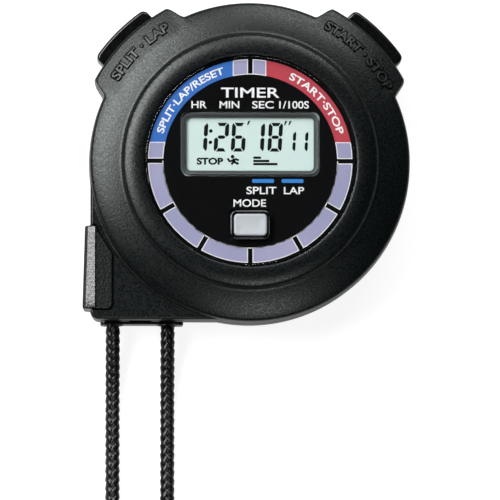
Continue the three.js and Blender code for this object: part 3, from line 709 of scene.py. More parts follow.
def build_neck_cord(material):
    route = [Vector(p) for p in LEFT_ROUTE] + coil_points() + [Vector(p) for p in COIL_EXIT]
    route += [Vector(p) for p in reversed(RIGHT_ROUTE)]
    fine, along = spline(route, 0.5)
    total = along[-1]
    shown = abs(VISIBLE_END - LEFT_ROUTE[0][1]) + 1
    close, wide = BRAID_LEAD / 20, BRAID_LEAD / 10
    stations = np.concatenate([
        np.arange(0, shown, close),
        np.arange(shown, total - shown, wide),
        np.arange(total - shown, total, close),
        [total],
    ])
    line = resampled(fine, along, stations)
    replaced = ("cord_strand_left", "cord_strand_right", "cord_coil")
    cord = piece(together(*braid(line)), "neck_cord", material, replaced, sharp=80)


# ---- The case ----

CASE_RADIUS = 32
DRAFT = 0.2
CAVITY_RADIUS = 28
REAR_TOP = 9.0
FRONT_BOTTOM = 9.3
WEB = (14.4, 15.6)
WEB_CENTRE = 12  # the flat middle of both shells is one face out to here
REAR_FLOOR = 1.8
CREASE = (25.8, 16.5)
FACE_MIDDLE, FACE_BEND = 19.7, 33  # the sloping face is an arc, highest at this radius
BEAD_CREST, BEAD_TOP, BEAD_BEND = 22.2, 17.8, 8  # the bead is a wide dome
BEAD_SHOULDER, BEAD_ROUND = 24.9, 1.5  # and rounds more tightly from here down into the crease
WINDOW_RADIUS = 21.3
BUTTON_ANGLES = {"start_stop": 45, "split_lap": 135}
SHOULDER_RADIUS = 35.2
SHOULDER_CREST, SHOULDER_FOOT = 16.3, 21.0  # degrees either side of a button
CORNER_LEFT, CORNER_LOW, CORNER_ROUND, CORNER_TOP = -31.9, -31.5, 1.7, 13.0
GAP = 0.3  # between a piece that moves and its opening
REAR_INSET = 0.3
REAR_SCREWS = [polar(26.4, angle) for angle in (15, 165, 255, 315)]
BOARD_SCREWS = [(-19, -10), (19, -10), (0, 18.5)]
POST_RADIUS, SCREW_HOLE = 2.4, 1.15
MODE_Y = -12.95
COLLAR_HOLE = (8.7, 6.5, 1)  # width, height and corner radius
DISPLAY_Y = 3.45
AROUND = 720


def case_radius(degrees):
    """The case's outer radius, which swells into a shoulder under each button."""
    away = min(abs((degrees - place + 180) % 360 - 180) for place in BUTTON_ANGLES.values())
    rise = min(max((SHOULDER_FOOT - away) / (SHOULDER_FOOT - SHOULDER_CREST), 0), 1)
    return CASE_RADIUS + (SHOULDER_RADIUS - CASE_RADIUS) * rise * rise * (3 - 2 * rise)


def drop(distance, bend):
    """How far an arc has fallen at a distance from its highest point."""
    return bend - math.sqrt(bend**2 - distance**2)


def face_height(radius):
    return CREASE[1] + drop(CREASE[0] - FACE_MIDDLE, FACE_BEND) - drop(radius - FACE_MIDDLE, FACE_BEND)


def bead():
    """Outwards from the window's edge, over the crest and down to the crease."""
    edge = 0.2
    low = BEAD_TOP - 0.05 - edge
    inner = [(WINDOW_RADIUS + edge * (1 - math.cos(a)), low + edge * math.sin(a)) for a in quarter(4)[:-1]]
    start = WINDOW_RADIUS + edge
    dome = [start + (BEAD_SHOULDER - start) * i / 10 for i in range(11)]
    dome = [(r, BEAD_TOP - drop(r - BEAD_CREST, BEAD_BEND)) for r in dome]
    first = math.asin((BEAD_SHOULDER - BEAD_CREST) / BEAD_BEND)
    last = math.radians(66)
    x, z = BEAD_SHOULDER - BEAD_ROUND * math.sin(first), dome[-1][1] - BEAD_ROUND * math.cos(first)
    angles = [first + (last - first) * i / 6 for i in range(1, 7)]
    return inner + dome + [(x + BEAD_ROUND * math.sin(a), z + BEAD_ROUND * math.cos(a)) for a in angles]


def front_profile(rim):
    face = [(r, face_height(r)) for r in (26.3, 27.2, 28.2, 29.2, 30.2)]
    return filleted([
        (WEB_CENTRE, WEB[1]),
        (WINDOW_RADIUS, WEB[1]),
        *bead(),
        CREASE,
        *face,
        (rim, face_height(rim), 0.9),
        (rim + DRAFT, FRONT_BOTTOM, 0.2),
        (CAVITY_RADIUS, FRONT_BOTTOM),
        (CAVITY_RADIUS, WEB[0]),
        (WEB_CENTRE, WEB[0]),
    ])


def rear_profile(rim):
    return filleted([
        (WEB_CENTRE, REAR_FLOOR),
        (CAVITY_RADIUS, REAR_FLOOR),
        (CAVITY_RADIUS, REAR_TOP),
        (rim + DRAFT, REAR_TOP, 0.2),
        (rim - DRAFT, 0, 1.3),
        (WEB_CENTRE, 0),
    ])


def shell(profile):
    """A shell turned from a profile that changes with the case's outline."""
    angles = [360 * i / AROUND for i in range(AROUND)]
    sections = [profile(case_radius(angle)) for angle in angles]
    rings = [
        [(*polar(section[k][0], angle), section[k][1]) for angle, section in zip(angles, sections)]
        for k in range(len(sections[0]))
    ]
    return rings_solid(rings)


def corner_outline(grow, inner):
    """The square corner that carries the cord, from the round wall out to its two straight sides."""
    left, low = CORNER_LEFT - grow, CORNER_LOW - grow
    return [
        (left, 0),
        *arc(CORNER_ROUND, 180, 270, 8, (left + CORNER_ROUND, low + CORNER_ROUND)),
        (0, low),
        *arc(inner, 270, 180, 40),
    ]


def corner_ledge():
    """A narrow step that follows the round wall across the corner."""
    inner, outer, low, high = 30.2, 32.55, 12.4, 13.35
    edge = [(outer, high - 0.25), (outer - 0.15, high - 0.07), (outer - 0.45, high)]
    step = turned([(inner, low), (outer, low), *edge, (inner, high), (inner, low)], 240)
    return kept(step, prism(corner_outline(-0.7, 28), 12, 14))


CAP_FACE, CAP_BACK, CAP_HALF = 37.5, 33.0, 6.9
CAP_LOW, CAP_HIGH = 6.05, 12.25
POCKET_FLOOR, POCKET_HALF = 31.5, 7.2
BUTTON_Z = (CAP_LOW + CAP_HIGH) / 2


def button_cuts():
    cuts = []
    for angle in BUTTON_ANGLES.values():
        pocket = box((POCKET_FLOOR, 40), (-POCKET_HALF, POCKET_HALF), (CAP_LOW - GAP, CAP_HIGH + GAP))
        bore = along_x(rod(1.3, 0, 8), 25, BUTTON_Z)
        cuts += [turned_to(pocket, angle), turned_to(bore, angle)]
    return cuts


COVER_LEFT, COVER_SEAM, COVER_TOP, COVER_BOTTOM = -33.5, -30.9, -12.7, -29.4
COVER_TIP, COVER_LOW, COVER_HIGH = -27.5, 3.4, 13.0
LEAF_THICK = 1
HOOK_REACH, HOOK_THICK = 0.9, 1  # the lip that holds the cover in a slot of the case


def leaf_outline(grow):
    """The cover's flat leaf on top of the corner, seen from above, and somewhat larger for its recess."""
    right, low, high = COVER_TIP + grow, COVER_BOTTOM - grow, COVER_TOP + grow
    return filleted([
        (COVER_LEFT + 2, low),
        (right, low, 1.1),
        (right, COVER_TOP - 5.6 + grow / 2, 0.8),
        (COVER_SEAM - 0.3 + grow, high, 0.3),
        (COVER_LEFT + 2, high),
    ], closed=True)


def cover_cuts():
    y = (COVER_BOTTOM - GAP, COVER_TOP + GAP)
    x, low, high = CORNER_LEFT - 2, COVER_LOW - GAP, CORNER_TOP + 1
    return [
        box((x, COVER_SEAM + GAP), y, (low, high)),
        prism(leaf_outline(GAP), COVER_HIGH - LEAF_THICK - GAP, high),
        box((x, COVER_SEAM + HOOK_REACH + GAP), y, (low, COVER_LOW + HOOK_THICK + GAP)),
    ]


def build_front_shell(material):
    post_top, hole_top = WEB[0] + 0.2, 13.9
    posts = [rod(POST_RADIUS, FRONT_BOTTOM, post_top, 24, at) for at in REAR_SCREWS]
    posts += [rod(2, 10.9, post_top, 24, at) for at in BOARD_SCREWS]
    holes = [rod(SCREW_HOLE, 9, hole_top, 20, at) for at in REAR_SCREWS]
    holes += [rod(1.05, 10, hole_top, 20, at) for at in BOARD_SCREWS]
    block = prism(corner_outline(0, 30.5), FRONT_BOTTOM, CORNER_TOP, edge=0.55, foot=0.2)
    opening = prism(rounded_rectangle(30.2, 15.2, 0.3, (0, DISPLAY_Y)), 14, 17)
    key_hole = prism(rounded_rectangle(7.2, 5, 0.9, (0, MODE_Y)), 14, 17)
    body = joined(shell(front_profile), block, corner_ledge(), *posts)
    body = cut(body, opening, key_hole, *holes, *button_cuts(), *cover_cuts())
    piece(body, "front_shell", material, ["front_case"])


LOOP_CENTRE, LOOP_RADIUS = (-21.8, -26.4), 5.5  # the cord's turn round the post inside the corner
PEG_HALF, PEG = 2, (3.5, 5.5)  # half the width of the cord guide's peg, and its heights


def cord_chamber():
    """What is cut out of the corner: room for the cord's loop, its two mouths and a hole for a peg."""
    reach, wall = LOOP_RADIUS + CORD_RADIUS + 0.4, -29.9
    x = LOOP_CENTRE[0]
    outline = [(x - reach, wall), (x + reach, wall), *arc(reach, 0, 180, 24, LOOP_CENTRE)]
    mouths = [along_y(rod(1.9, -2, 2, 32), at, -30.9, CORD_RISE) for at in CORD_MOUTHS]
    peg = box((x - PEG_HALF - GAP, x + PEG_HALF + GAP), (-33, -30.5), (PEG[0] - GAP, PEG[1] + GAP))
    return [prism(outline, 2.6, 10), peg, *mouths]


def build_rear_shell(material):
    posts = [rod(POST_RADIUS, 1.5, REAR_TOP, 24, at) for at in REAR_SCREWS]
    recesses = [turned([(0, -1), (2.2, -1), (2, 0.25), (2, 2), (0, 2)], 32, at) for at in REAR_SCREWS]
    holes = [rod(SCREW_HOLE, 1, REAR_TOP + 1, 20, at) for at in REAR_SCREWS]
    block = prism(corner_outline(-REAR_INSET, 30), 0, REAR_TOP, edge=0.2, foot=1.0)
    body = joined(shell(rear_profile), block, *posts)
    body = cut(body, *recesses, *holes, *button_cuts(), *cover_cuts(), *cord_chamber())
    piece(body, "rear_shell", material, ["rear_case"])


def build_rear_screws(material):
    head = [(0, 0.3), (1.3, 0.35), (1.6, 0.6), (1.65, 1.7)]
    shank = [(0.85, 1.7), (0.85, 13.2), (0, 13.4)]
    slot = [(-1.0, -0.2), (1.0, -0.2), (0.85, 0.2), (-0.85, 0.2)]
    for number, at in enumerate(REAR_SCREWS, 1):
        place = Matrix.Translation((*at, 0))
        slots = [moved(turned_to(prism(slot, -0.2, 1.0), turn), place) for turn in (0, 90)]
        screw = cut(turned(head + shank, 40, at), *slots)
        piece(screw, f"rear_screw_{number}_steel", material, [f"rear_screw_{number}"])


# ---- Lettering and printed shapes ----


def lettering(text, height, width, weight, bevel=0.0):
    """Capital letters as a flat solid 1 mm thick, centred on the origin and this high and wide."""
    curve = bpy.data.curves.new("letters", "FONT")
    curve.body = text
    curve.align_x = "CENTER"
    curve.size = 1
    curve.extrude = 0.5 - bevel
    curve.bevel_depth = bevel
    curve.bevel_resolution = 1
    curve.offset = weight
    holder = bpy.data.objects.new("letters", curve)
    bpy.context.scene.collection.objects.link(holder)
    graph = bpy.context.evaluated_depsgraph_get()
    mesh = bpy.data.meshes.new_from_object(holder.evaluated_get(graph))
    bpy.data.objects.remove(holder)
    points = np.array([v.co for v in mesh.vertices])
    low, high = points.min(0), points.max(0)
    points -= (low + high) / 2
    points *= (width / (high[0] - low[0]), height / (high[1] - low[1]), 1)
    return solid(points, [tuple(f.vertices) for f in mesh.polygons])


def laid(part, x, y, bottom, top):
    """A flat solid 1 mm thick moved to a place and squeezed between two heights."""
    place = Matrix.Translation((x, y, (bottom + top) / 2))
    return moved(part, place @ Matrix.Diagonal((1, 1, top - bottom, 1)))


def bent_round(part, radius, degrees, height_at):
    """Letters set round the dial's centre with their tops outwards, their middle at an angle."""
    for vertex in part.data.vertices:
        reach = radius + vertex.co.y
        angle = math.radians(degrees) - vertex.co.x / radius
        vertex.co = (reach * math.cos(angle), reach * math.sin(angle), height_at(reach, vertex.co.z))
    return part


DIAL_RADIUS = 21.0
DIAL_TOP = 16.2
RING_INNER, RING_OUTER = 17.4, 20.45
INK = 0.015  # thickness of a layer of print
TICK_HALF = 0.46  # half the width of the black gaps in the ring
OUTLINE = 0.17  # width of the white line round each segment


def beside_tick(degrees, side, margin):
    """The edge of a ring segment beside an hour's tick, as an angle for each radius."""
    return lambda r: degrees + side * math.degrees(math.asin((TICK_HALF + margin) / r))


def upright_edge(x, margin=0.0):
    return lambda r: math.degrees(math.acos((x + margin) / r))


def level_edge(y, right, margin=0.0):
    def angle(r):
        up = math.degrees(math.asin((y + margin) / r))
        return up if right else 180 - up
    return angle


def segment(first, last, inner, outer, layers):
    """A piece of the dial's ring between two edges, going anticlockwise."""
    steps = 24
    outline = []
    for r, way in ((outer, 1), (inner, -1)):
        a, b = first(r), last(r)
        run = [polar(r, a + (b - a) * i / steps) for i in range(steps + 1)]
        outline += run[::way]
    return prism(outline, DIAL_TOP, DIAL_TOP + INK * layers)


BLUE_START = 3.8  # height of the blue and red bands' lower ends
BLUE_END, RED_END = -3.5, 3.2  # where their upper ends are


def ring_segments(margin, inner, outer, layers):
    """The pale segments: six below, and two beside and two between the blue and red bands."""
    edges = [(beside_tick(a, 1, margin), beside_tick(a + 30, -1, margin)) for a in range(180, 360, 30)]
    edges += [
        (level_edge(BLUE_START, False, -margin), beside_tick(180, -1, margin)),
        (beside_tick(0, 1, margin), level_edge(BLUE_START, True, -margin)),
        (beside_tick(90, 1, margin), upright_edge(BLUE_END, margin)),
        (upright_edge(RED_END, -margin), beside_tick(90, -1, margin)),
    ]
    return [segment(first, last, inner, outer, layers) for first, last in edges]


def build_dial(face, white, lavender, blue, red, dash_blue):
    holes = [
        prism(rounded_rectangle(*COLLAR_HOLE, (0, MODE_Y)), 15, 17),
        prism(rounded_rectangle(27.8, 13, 1.5, (0, DISPLAY_Y)), 15, 17),
    ]
    plate = rod(DIAL_RADIUS, DIAL_TOP - 0.3, DIAL_TOP, 180)
    piece(cut(plate, *holes), "dial_face", face, ["dial_plate"])

    outlines = ring_segments(0, RING_INNER, RING_OUTER, 1)
    inner_line = OUTLINE + RING_INNER
    outlines.append(segment(lambda r: 180, lambda r: 360, RING_INNER, inner_line, 1))
    outlines.append(segment(beside_tick(90, -1, 0), beside_tick(90, 1, 0), RING_INNER, inner_line, 1))
    piece(together(*outlines), "dial_outlines", white)
    fill = ring_segments(OUTLINE, inner_line, RING_OUTER - OUTLINE, 2)
    piece(together(*fill), "dial_ring", lavender)
    blue_band = segment(upright_edge(BLUE_END), level_edge(BLUE_START, False), RING_INNER, RING_OUTER, 2)
    red_band = segment(level_edge(BLUE_START, True), upright_edge(RED_END), RING_INNER, RING_OUTER, 2)
    piece(blue_band, "dial_blue_band", blue)
    piece(red_band, "dial_red_band", red)

    on_band = lambda reach, z: DIAL_TOP + INK * (2.5 + z)
    band_middle = (RING_INNER + RING_OUTER) / 2
    words = [
        bent_round(lettering("SPLIT·LAP/RESET", 1.5, 18.6, 0.022), band_middle, 134.5, on_band),
        bent_round(lettering("START·STOP", 1.5, 15.9, 0.022), band_middle, 41, on_band),
    ]
    labels = [
        ("TIMER", 0, 13.74, 2.0, 11.7),
        ("HR", -10.25, 11.3, 1.45, 3.05),
        ("MIN", -4.17, 11.3, 1.45, 3.95),
        ("SEC", 2.55, 11.3, 1.5, 4.3),
        ("1/100S", 8.77, 11.3, 1.5, 5.95),
        ("SPLIT", 2.25, -5.92, 1.5, 6.0),
        ("LAP", 8.75, -5.92, 1.45, 4.05),
        ("MODE", -0.1, -8.45, 1.5, 6.5),
    ]
    for text, x, y, height, width in labels:
        words.append(laid(lettering(text, height, width, 0.012), x, y, DIAL_TOP, DIAL_TOP + INK))
    piece(together(*words), "dial_words", white)
    dashes = [
        prism(rounded_rectangle(4.37, 0.75, 0.25, (x, -4.0)), DIAL_TOP, DIAL_TOP + INK)
        for x in (2.57, 8.46)
    ]
    piece(together(*dashes), "dial_dashes", dash_blue)


def build_case_lettering(material, painted_outline_shade_material):
    """Letters raised on the slope beside each button, with painted shade round them: a flat dark sheet a
    little larger than each word.
    """
    on_face = lambda reach, z: face_height(reach) + 0.1 + 0.6 * z
    painted_shade_level = lambda reach, z: face_height(reach) + 0.1 * z
    height, margin = 1.95, 0.5  # the painted shade outline's two sides together add the margin to a word
    for side, text, width, radius, angle in (
        ("left", "SPLIT · LAP", 15.2, 31.85, 134.8),
        ("right", "START · STOP", 18.3, 31.6, 44.4),
    ):
        word = lettering(text, height, width, -0.005, bevel=0.03)
        # A flat dark copy of the word, wider than it and lying level with the slope, is painted shade round
        # the letters.
        groove = lettering(text, height + margin, width + margin, 0.085)
        piece(bent_round(word, radius, angle, on_face), "case_words_" + side, material)
        painted_shade_outline = bent_round(groove, radius, angle, painted_shade_level)
        piece(painted_shade_outline, "case_painted_shade_outlines_" + side, painted_outline_shade_material)


def build_window(material):
    low, top = 16.5, 17.7
    edge = [(20.9, low), (21, low + 0.1), (21, top - 0.3), (20.92, top - 0.1), (20.7, top)]
    pane = turned([(0, low), *edge, (0, top)], 240)
    gap = prism(rounded_rectangle(*COLLAR_HOLE, (0, MODE_Y)), 16, 18)
    window = piece(cut(pane, gap), "window", material, ["lens"])
    window.visible_shadow = False


# ---- Display ----

PANEL_TOP = 15.0
LCD_SLANT = math.tan(math.radians(3.3))


def shrunk(width, height, radius, inwards, z, centre):
    """A rounded rectangle at a height, with its sides moved inwards."""
    corner = max(radius - inwards, 0.1)
    return [(*p, z) for p in rounded_rectangle(width - 2 * inwards, height - 2 * inwards, corner, centre)]


def framed(width, height, radius, profile, centre):
    """A frame round a rounded rectangle: its section is given as (distance inwards, height) points."""
    return rings_solid([shrunk(width, height, radius, d, z, centre) for d, z in profile], closed=True)


def build_display_frame(material):
    profile = [(0, 15.3), (0, 16.08), (0.1, 16.2), (0.28, 16.18), (0.6, 15.95), (0.85, 15.5), (0.9, 15.3)]
    frame_ring = framed(27.2, 12.4, 1.7, profile, (0, DISPLAY_Y))
    piece(frame_ring, "display_frame", material, ["lcd_bezel"])


def digit_bars(width, height, stroke, shown):
    """Outlines of the lit bars of a seven-bar digit centred on the origin."""
    w, h, t, g = width / 2, height / 2, stroke, 0.07
    upper, lower = w - t * 0.5 - g, w - t * 1.05 - g
    top = [(-upper, h), (upper, h), (lower, h - t * 0.85), (-lower, h - t * 0.85)]
    outside = [(w - t * 0.3, h - 0.05), (w, h - t * 0.7), (w, t * 0.5)]
    side = [*outside, (w - t * 0.5, g), (w - t, t * 0.55), (w - t, h - t * 0.95)]
    tip, end, half = w - t * 0.75, w - t * 1.2, t * 0.42
    middle = [(-tip, 0), (-end, half), (end, half), (tip, 0), (end, -half), (-end, -half)]
    over = lambda points: [(x, -y) for x, y in points]
    across = lambda points: [(-x, y) for x, y in points]
    bars = {"a": top, "b": side, "c": over(side), "d": over(top)}
    bars |= {"e": across(over(side)), "f": across(side), "g": middle}
    return [bars[name] for name in shown]


DIGITS = {"1": "bc", "2": "abged", "6": "afgedc", "8": "abcdefg"}
# Each row of digits: the height of its middle, the digits' width, height and stroke, and where each is.
READING = [
    (4.9, (2.86, 5.8, 0.8), [("1", -9.93), ("2", -5.73), ("6", -2.3), ("1", 1.47), ("8", 5.03)]),
    (4.05, (2.1, 4.1, 0.62), [("1", 8.1), ("1", 10.55)]),
]


def lcd_mark(outline, x=0.0, y=0.0, slant=LCD_SLANT):
    """A dark shape on the display, moved into place and leaning like its digits."""
    points = [(x + px + py * slant, y + py) for px, py in outline]
    area = sum(a[0] * b[1] - b[0] * a[1] for a, b in zip(points, points[1:] + points[:1]))
    return prism(points if area > 0 else points[::-1], PANEL_TOP, PANEL_TOP + 0.02)


def stroke_bar(start, end, half):
    """The outline of a straight stroke, given half its width."""
    along = (Vector(end) - Vector(start)).normalized()
    across = Vector((-along.y, along.x)) * half
    a, b = Vector(start), Vector(end)
    return [tuple(p) for p in (a - across, b - across, b + across, a + across)]


def build_display(glass, ink):
    sheet = rounded_rectangle(29.6, 14.6, 0.3, (0, DISPLAY_Y))
    block = prism(sheet, PANEL_TOP - 1.5, PANEL_TOP, edge=0.1)
    piece(block, "display_panel", glass, ["lcd_panel"])
    marks = []
    for y, size, digits in READING:
        marks += [lcd_mark(bar, x, y) for digit, x in digits for bar in digit_bars(*size, DIGITS[digit])]
    marks += [lcd_mark(circle(0.36, 20), x, y) for x, y in ((-7.86, 6.12), (-7.94, 3.84))]
    minute_mark = [(-0.3, -0.42), (-0.05, -0.42), (0.33, 0.42), (-0.12, 0.42)]
    marks += [lcd_mark(minute_mark, x, 7.75) for x in (-0.3, 7.1, 7.98)]
    left = 0.64
    rows = ((0.78, 1.55), (0.12, 3.2), (-0.5, 4.85))
    steps = [stroke_bar((left, y), (left + run, y), 0.24) for y, run in rows]
    runner = [
        stroke_bar((-4.5, 0.62), (-4.05, -0.05), 0.21),
        stroke_bar((-4.05, -0.05), (-3.35, 0.35), 0.2),
        stroke_bar((-3.5, 0.5), (-3.1, -0.15), 0.34),
        stroke_bar((-3.1, 0.55), (-2.25, 0.25), 0.2),
        stroke_bar((-3.2, -0.1), (-2.3, -0.5), 0.22),
        stroke_bar((-3.3, -0.1), (-3.75, -0.6), 0.22),
    ]
    head = circle(0.37, 20, (-3.5, 0.98))
    marks += [lcd_mark(shape, slant=0) for shape in (*steps, *runner, head)]
    marks.append(laid(lettering("STOP", 1.42, 5.3, 0.045), -8.03, 0.05, PANEL_TOP, PANEL_TOP + 0.02))
    piece(together(*marks), "display_marks", ink)


# ---- Mode key ----


def build_mode_key(key_material, collar_material, pad_material):
    foot, top, edge = 13.9, 18.3, 0.4
    levels = [(0, foot), (0, top - edge)]
    levels += [(edge * (1 - math.cos(a)), top - edge * (1 - math.sin(a))) for a in quarter(5)[1:]]
    levels += [(d, top - dip) for d, dip in ((0.6, 0.02), (0.95, 0.07), (1.4, 0.11), (1.95, 0.13))]
    cap = rings_solid([shrunk(6.6, 4.4, 0.8, d, z, (0, MODE_Y)) for d, z in levels])
    flange = prism(rounded_rectangle(8.6, 6.4, 0.5, (0, MODE_Y)), 13.4, 14.1)
    piece(joined(cap, flange), "mode_cap", key_material, ["mode_button"], body="mode_key")

    rim = [(0, 17.62), (0.1, 17.82), (0.28, 17.9), (0.36, 17.86), (0.45, 17.6)]
    collar = framed(8.1, 5.9, 1.35, [(0, 14.6), *rim, (0.45, 14.6)], (0, MODE_Y))
    piece(collar, "mode_collar", collar_material)

    low, high = 10.9, 13.1
    dome = [(2.8, low + 0.35), (2.6, low + 0.5), (2.2, low + 0.7), (1.7, high - 0.5), (1.5, high - 0.15)]
    pad = turned([(0, low), (2.8, low), *dome, (1.2, high), (0, high)], 48, (0, MODE_Y))
    rubber = piece(pad, "mode_rubber", pad_material, ["mode_pad"])
    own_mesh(rubber)


# ---- Push buttons ----


def cap_outline():
    corner, fillet = math.sqrt(CAP_FACE**2 - CAP_HALF**2), 1.3
    return filleted([
        (CAP_BACK, -CAP_HALF),
        (corner, -CAP_HALF, fillet),
        *arc(CAP_FACE, -8, 8, 10),
        (corner, CAP_HALF, fillet),
        (CAP_BACK, CAP_HALF),
    ], steps=8, closed=True)


def build_button(name, angle, cap_material, steel):
    body = f"{name}_button"
    cap = prism(cap_outline(), CAP_LOW, CAP_HIGH, edge=0.6, foot=0.6, steps=6)
    half = CAP_HALF - 1.2
    hollow = box((CAP_BACK - 1, CAP_FACE - 1.4), (-half, half), (CAP_LOW + 0.8, CAP_HIGH - 0.8))
    cap = turned_to(cut(cap, hollow), angle)
    piece(cap, f"{name}_push_cap", cap_material, [f"{name}_cap"], body)

    groove = [(1, 0.6), (0.7, 0.6), (0.7, 1.3), (1, 1.3)]
    stem = turned([(0, 0), (0.8, 0), (1, 0.2), *groove, (1, 9.5), (0, 9.5)], 32)
    stem = turned_to(along_x(stem, 26.3, BUTTON_Z), angle)
    piece(stem, f"{name}_push_stem", steel, [f"{name}_stem"], body)

    rim = [(2.3, 27), (2.4, 27.1), (2.4, 27.4), (2.3, 27.5)]
    ring = turned([(1.3, 27), *rim, (1.3, 27.5), (1.3, 27)], 48)
    mouth = prism([(-0.8, -3), (0.8, -3), (0.9, 0), (-0.9, 0)], 26, 28)
    clip = turned_to(along_x(cut(ring, mouth), 0, BUTTON_Z), angle)
    piece(clip, f"{name}_retaining_clip", steel, [f"{name}_clip"], body)

    build_spring(name, angle, steel)


def build_spring(name, angle, steel):
    inner, outer, wire, radius, turns = 31.8, 35.8, 0.35, 1.65, 4
    along = np.linspace(inner + wire / 2, outer - wire / 2, turns * 28 + 1)
    turn = np.linspace(0, 2 * math.pi * turns, turns * 28 + 1)
    radial = np.stack([0 * turn, np.cos(turn), np.sin(turn)], axis=1)
    line = np.stack([along, 0 * turn, 0 * turn + BUTTON_Z], axis=1) + radius * radial
    across = unit(np.cross(np.gradient(line, axis=0), radial))
    spring = turned_to(swept(line, across, radial, wire / 2, wire / 2, 10), angle)
    made = piece(spring, f"{name}_return_spring", steel, [f"{name}_spring"])
    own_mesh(made)


# ---- Corner cover, cord guide and tie ----


def build_cover(material):
    length, flare = COVER_TOP - COVER_BOTTOM, 0.5

    def section(down, shrink):
        left = COVER_LEFT + flare * (1 - down / length)
        outline = filleted([
            (COVER_SEAM, COVER_LOW),
            (COVER_SEAM, COVER_HIGH + 0.5, 0.1),
            (left + 0.6, COVER_HIGH - 0.05, 0.2),
            (left, COVER_HIGH - 0.65, 0.3),
            (left + 0.3, COVER_LOW + 1.4, 0.9),
            (left + 1.1, COVER_LOW, 0.5),
        ], closed=True)
        return [(x, COVER_TOP - down, z) for x, z in inset(outline, shrink)]

    rounding = [(0, 0.35), (0.1, 0.15), (0.35, 0)]  # distance from either end, and how far to inset
    places = rounding + [(0.35 + (length - 0.7) * i / 12, 0) for i in range(1, 12)]
    places += [(length - d, shrink) for d, shrink in rounding[::-1]]
    spine = rings_solid([section(down, shrink) for down, shrink in places])
    leaf = prism(leaf_outline(0), COVER_HIGH - LEAF_THICK, COVER_HIGH, edge=0.25)
    sides = (COVER_BOTTOM, COVER_TOP)
    hook = box((COVER_SEAM - 1, COVER_SEAM + HOOK_REACH), sides, (COVER_LOW, COVER_LOW + HOOK_THICK))
    body = joined(spine, leaf, hook)
    piece(body, "corner_cover_shell", material, ["corner_cover"], "corner_cover_body")


def build_cord_guide(material):
    left, right, low, high = -29.8, -13.2, 2.2, 6.8
    middle, height = (left + right) / 2, (low + high) / 2
    plate = prism(rounded_rectangle(right - left, high - low, 0.9, (middle, height)), 0, 0.7, edge=0.2)
    recess = box((left + 2.1, right - 2.1), (low - 1, high + 1), (0.52, 2))
    plate = cut(plate, recess)
    section = [(1.5, 0.1), (2.2, 0.1), (2.2, 0.6), (2.05, 0.7), (1.5, 0.7), (1.5, 0.1)]
    collars = [turned(section, 40, (x, CORD_RISE)) for x in CORD_MOUTHS]
    holes = [rod(1.85, -2, 2, 40, (x, CORD_RISE)) for x in CORD_MOUTHS]
    plate = cut(joined(plate, *collars), *holes)
    x = LOOP_CENTRE[0]
    peg = box((x - PEG_HALF, x + PEG_HALF), (-31.7, -30.8), PEG)
    guide = joined(along_y(plate, 0, CORNER_LOW, 0), peg)
    piece(guide, "cord_guide", material, ["cord_plate"])


def build_cord_post(material):
    radius = LOOP_RADIUS - CORD_RADIUS - 0.8
    profile = [(0, 2.9), (radius - 0.2, 2.9), (radius, 3.1), (radius, 8.5), (radius - 0.2, 8.7), (0, 8.7)]
    piece(turned(profile, 64, LOOP_CENTRE), "cord_pin", material, ["cord_post"])


def build_inner_loop(material):
    y, step = LOOP_CENTRE[1], 0.86
    run = [(CORD_MOUTHS[0], y - i * step, CORD_RISE) for i in range(5, 0, -1)]
    run += [(*p, CORD_RISE) for p in arc(LOOP_RADIUS, 180, 0, 20, LOOP_CENTRE)]
    run += [(CORD_MOUTHS[1], y - i * step, CORD_RISE) for i in range(1, 6)]
    fine, along = spline(run, 0.5)
    line = resampled(fine, along, np.arange(0, along[-1], BRAID_LEAD / 14))
    piece(together(*braid(line)), "cord_hidden_loop", material, ["cord_inner_loop"], sharp=80)


def build_tie(material):
    left, right = COIL_CENTRE.x + 7.55, COIL_CENTRE.x + 25.05
    low, high = 0.06, 7.9
    centre = ((left + right) / 2, (low + high) / 2)
    thick, half, edge = 0.6, 2.5, 0.15
    outer = [(edge, -half), (0, -half + edge), (0, half - edge), (edge, half)]
    profile = outer + [(thick - d, z) for d, z in outer[::-1]]
    strap = framed(right - left, high - low, 2.2, profile, centre)
    return piece(along_y(strap, 0, COIL_CENTRE.y, 0), "coil_strap", material, ["cord_tie"])


# ---- The scene ----


def paint_inner_parts(steel):
    """Finishes the parts inside the closed case, where the CAD shape itself is shown."""
    strips, capacitors = ["zebra_strip_upper", "zebra_strip_lower"], ["capacitor_1", "capacitor_2"]
    contacts = ["start_stop_contact", "split_lap_contact"]
    finishes = [
        (brushed_steel("reflector_foil", (0.72, 0.72, 0.70), 0.35), ["lcd_reflector"]),
        (smooth_plastic("holder_white", (0.72, 0.72, 0.68), (0.8, 0.8, 0.76), 0.5), ["lcd_holder"]),
        (soft_rubber("zebra_rubber", (0.08, 0.075, 0.07), (0.13, 0.12, 0.11)), strips),
        (board_resin(), ["circuit_board"]),
        (smooth_plastic("chip_resin", (0.006, 0.006, 0.006), (0.012, 0.012, 0.012), 0.3), ["ic_blob"]),
        (smooth_plastic("ceramic_tan", (0.42, 0.28, 0.13), (0.5, 0.34, 0.17), 0.5), capacitors),
        (smooth_plastic("holder_black", (0.014, 0.014, 0.014), (0.02, 0.02, 0.02), 0.5), ["battery_holder"]),
        (brushed_steel("contact_gold", (0.75, 0.52, 0.2), 0.3), contacts),
    ]
    finish_of = {name: finish for finish, names in finishes for name in names}
    for name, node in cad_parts.items():
        if not node.hide_render:
            node.data.materials.clear()
            node.data.materials.append(finish_of.get(name, steel))


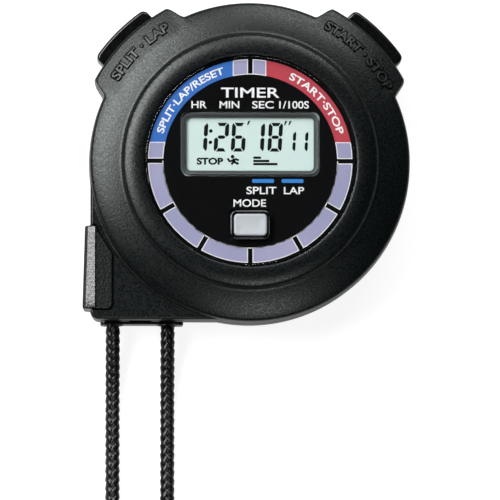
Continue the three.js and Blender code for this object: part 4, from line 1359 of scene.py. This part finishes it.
def build_stopwatch():
    case = spark_plastic("case_plastic", (0.0003, 0.0013, 0.0014), (0.0006, 0.002, 0.0021), 0.29)
    steel = brushed_steel()
    black = smooth_plastic("black_plastic", (0.0008, 0.001, 0.001), (0.0014, 0.0017, 0.0017), 0.2)
    build_front_shell(case)
    rear_plastic = spark_plastic("rear_plastic", (0.0015, 0.0024, 0.0024), (0.0025, 0.0036, 0.0036), 0.24)
    build_rear_shell(rear_plastic)
    build_rear_screws(steel)
    black_print = matt_black()
    letter_plastic = smooth_plastic("letter_plastic", (0.002, 0.0028, 0.0028), (0.003, 0.004, 0.004), 0.34)
    build_case_lettering(letter_plastic, black_print)
    build_dial(
        black_print,
        print_ink("ink_white", (0.86, 0.86, 0.87)),
        # the second lavender is the lighter tone of the painted sheen
        metallic_ink("ink_lavender", (0.30, 0.30, 0.47), (0.36, 0.35, 0.52)),
        print_ink("ink_blue", (0.016, 0.135, 0.5)),
        print_ink("ink_red", (0.46, 0.034, 0.058)),
        print_ink("ink_dash_blue", (0.015, 0.21, 0.62)),
    )
    build_window(window_pane())
    build_display_frame(smooth_plastic("frame_grey", (0.05, 0.055, 0.055), (0.06, 0.066, 0.066), 0.4))
    build_display(display_film(), print_ink("lcd_ink", (0.003, 0.006, 0.006), 0.5, gloss=0.1))
    build_mode_key(
        smooth_plastic("key_grey", (0.44, 0.47, 0.50), (0.48, 0.51, 0.54), 0.4),
        black,
        soft_rubber("pad_rubber", (0.25, 0.26, 0.27), (0.32, 0.33, 0.34)),
    )
    for name, angle in BUTTON_ANGLES.items():
        build_button(name, angle, black, steel)
    build_cover(coarse_grip("cover_grip", (0.001, 0.002, 0.002), (0.003, 0.004, 0.004), 0.27))
    build_cord_guide(black)
    build_cord_post(black)
    cord = cord_fibre()
    build_inner_loop(cord)
    tie = build_tie(woven_band())
    build_neck_cord(cord)
    paint_inner_parts(steel)


bpy.context.scene.view_settings.view_transform = "Standard"
add_camera()
add_world()
add_floor()
add_softbox("key_softbox", 147, 37, 2.0, 1.1, 78)
add_softbox("top_fill", 74, 48, 1.4, 0.8, 22)
add_softbox("low_fill", -82, 33, 0.6, 0.6, 8)
build_stopwatch()
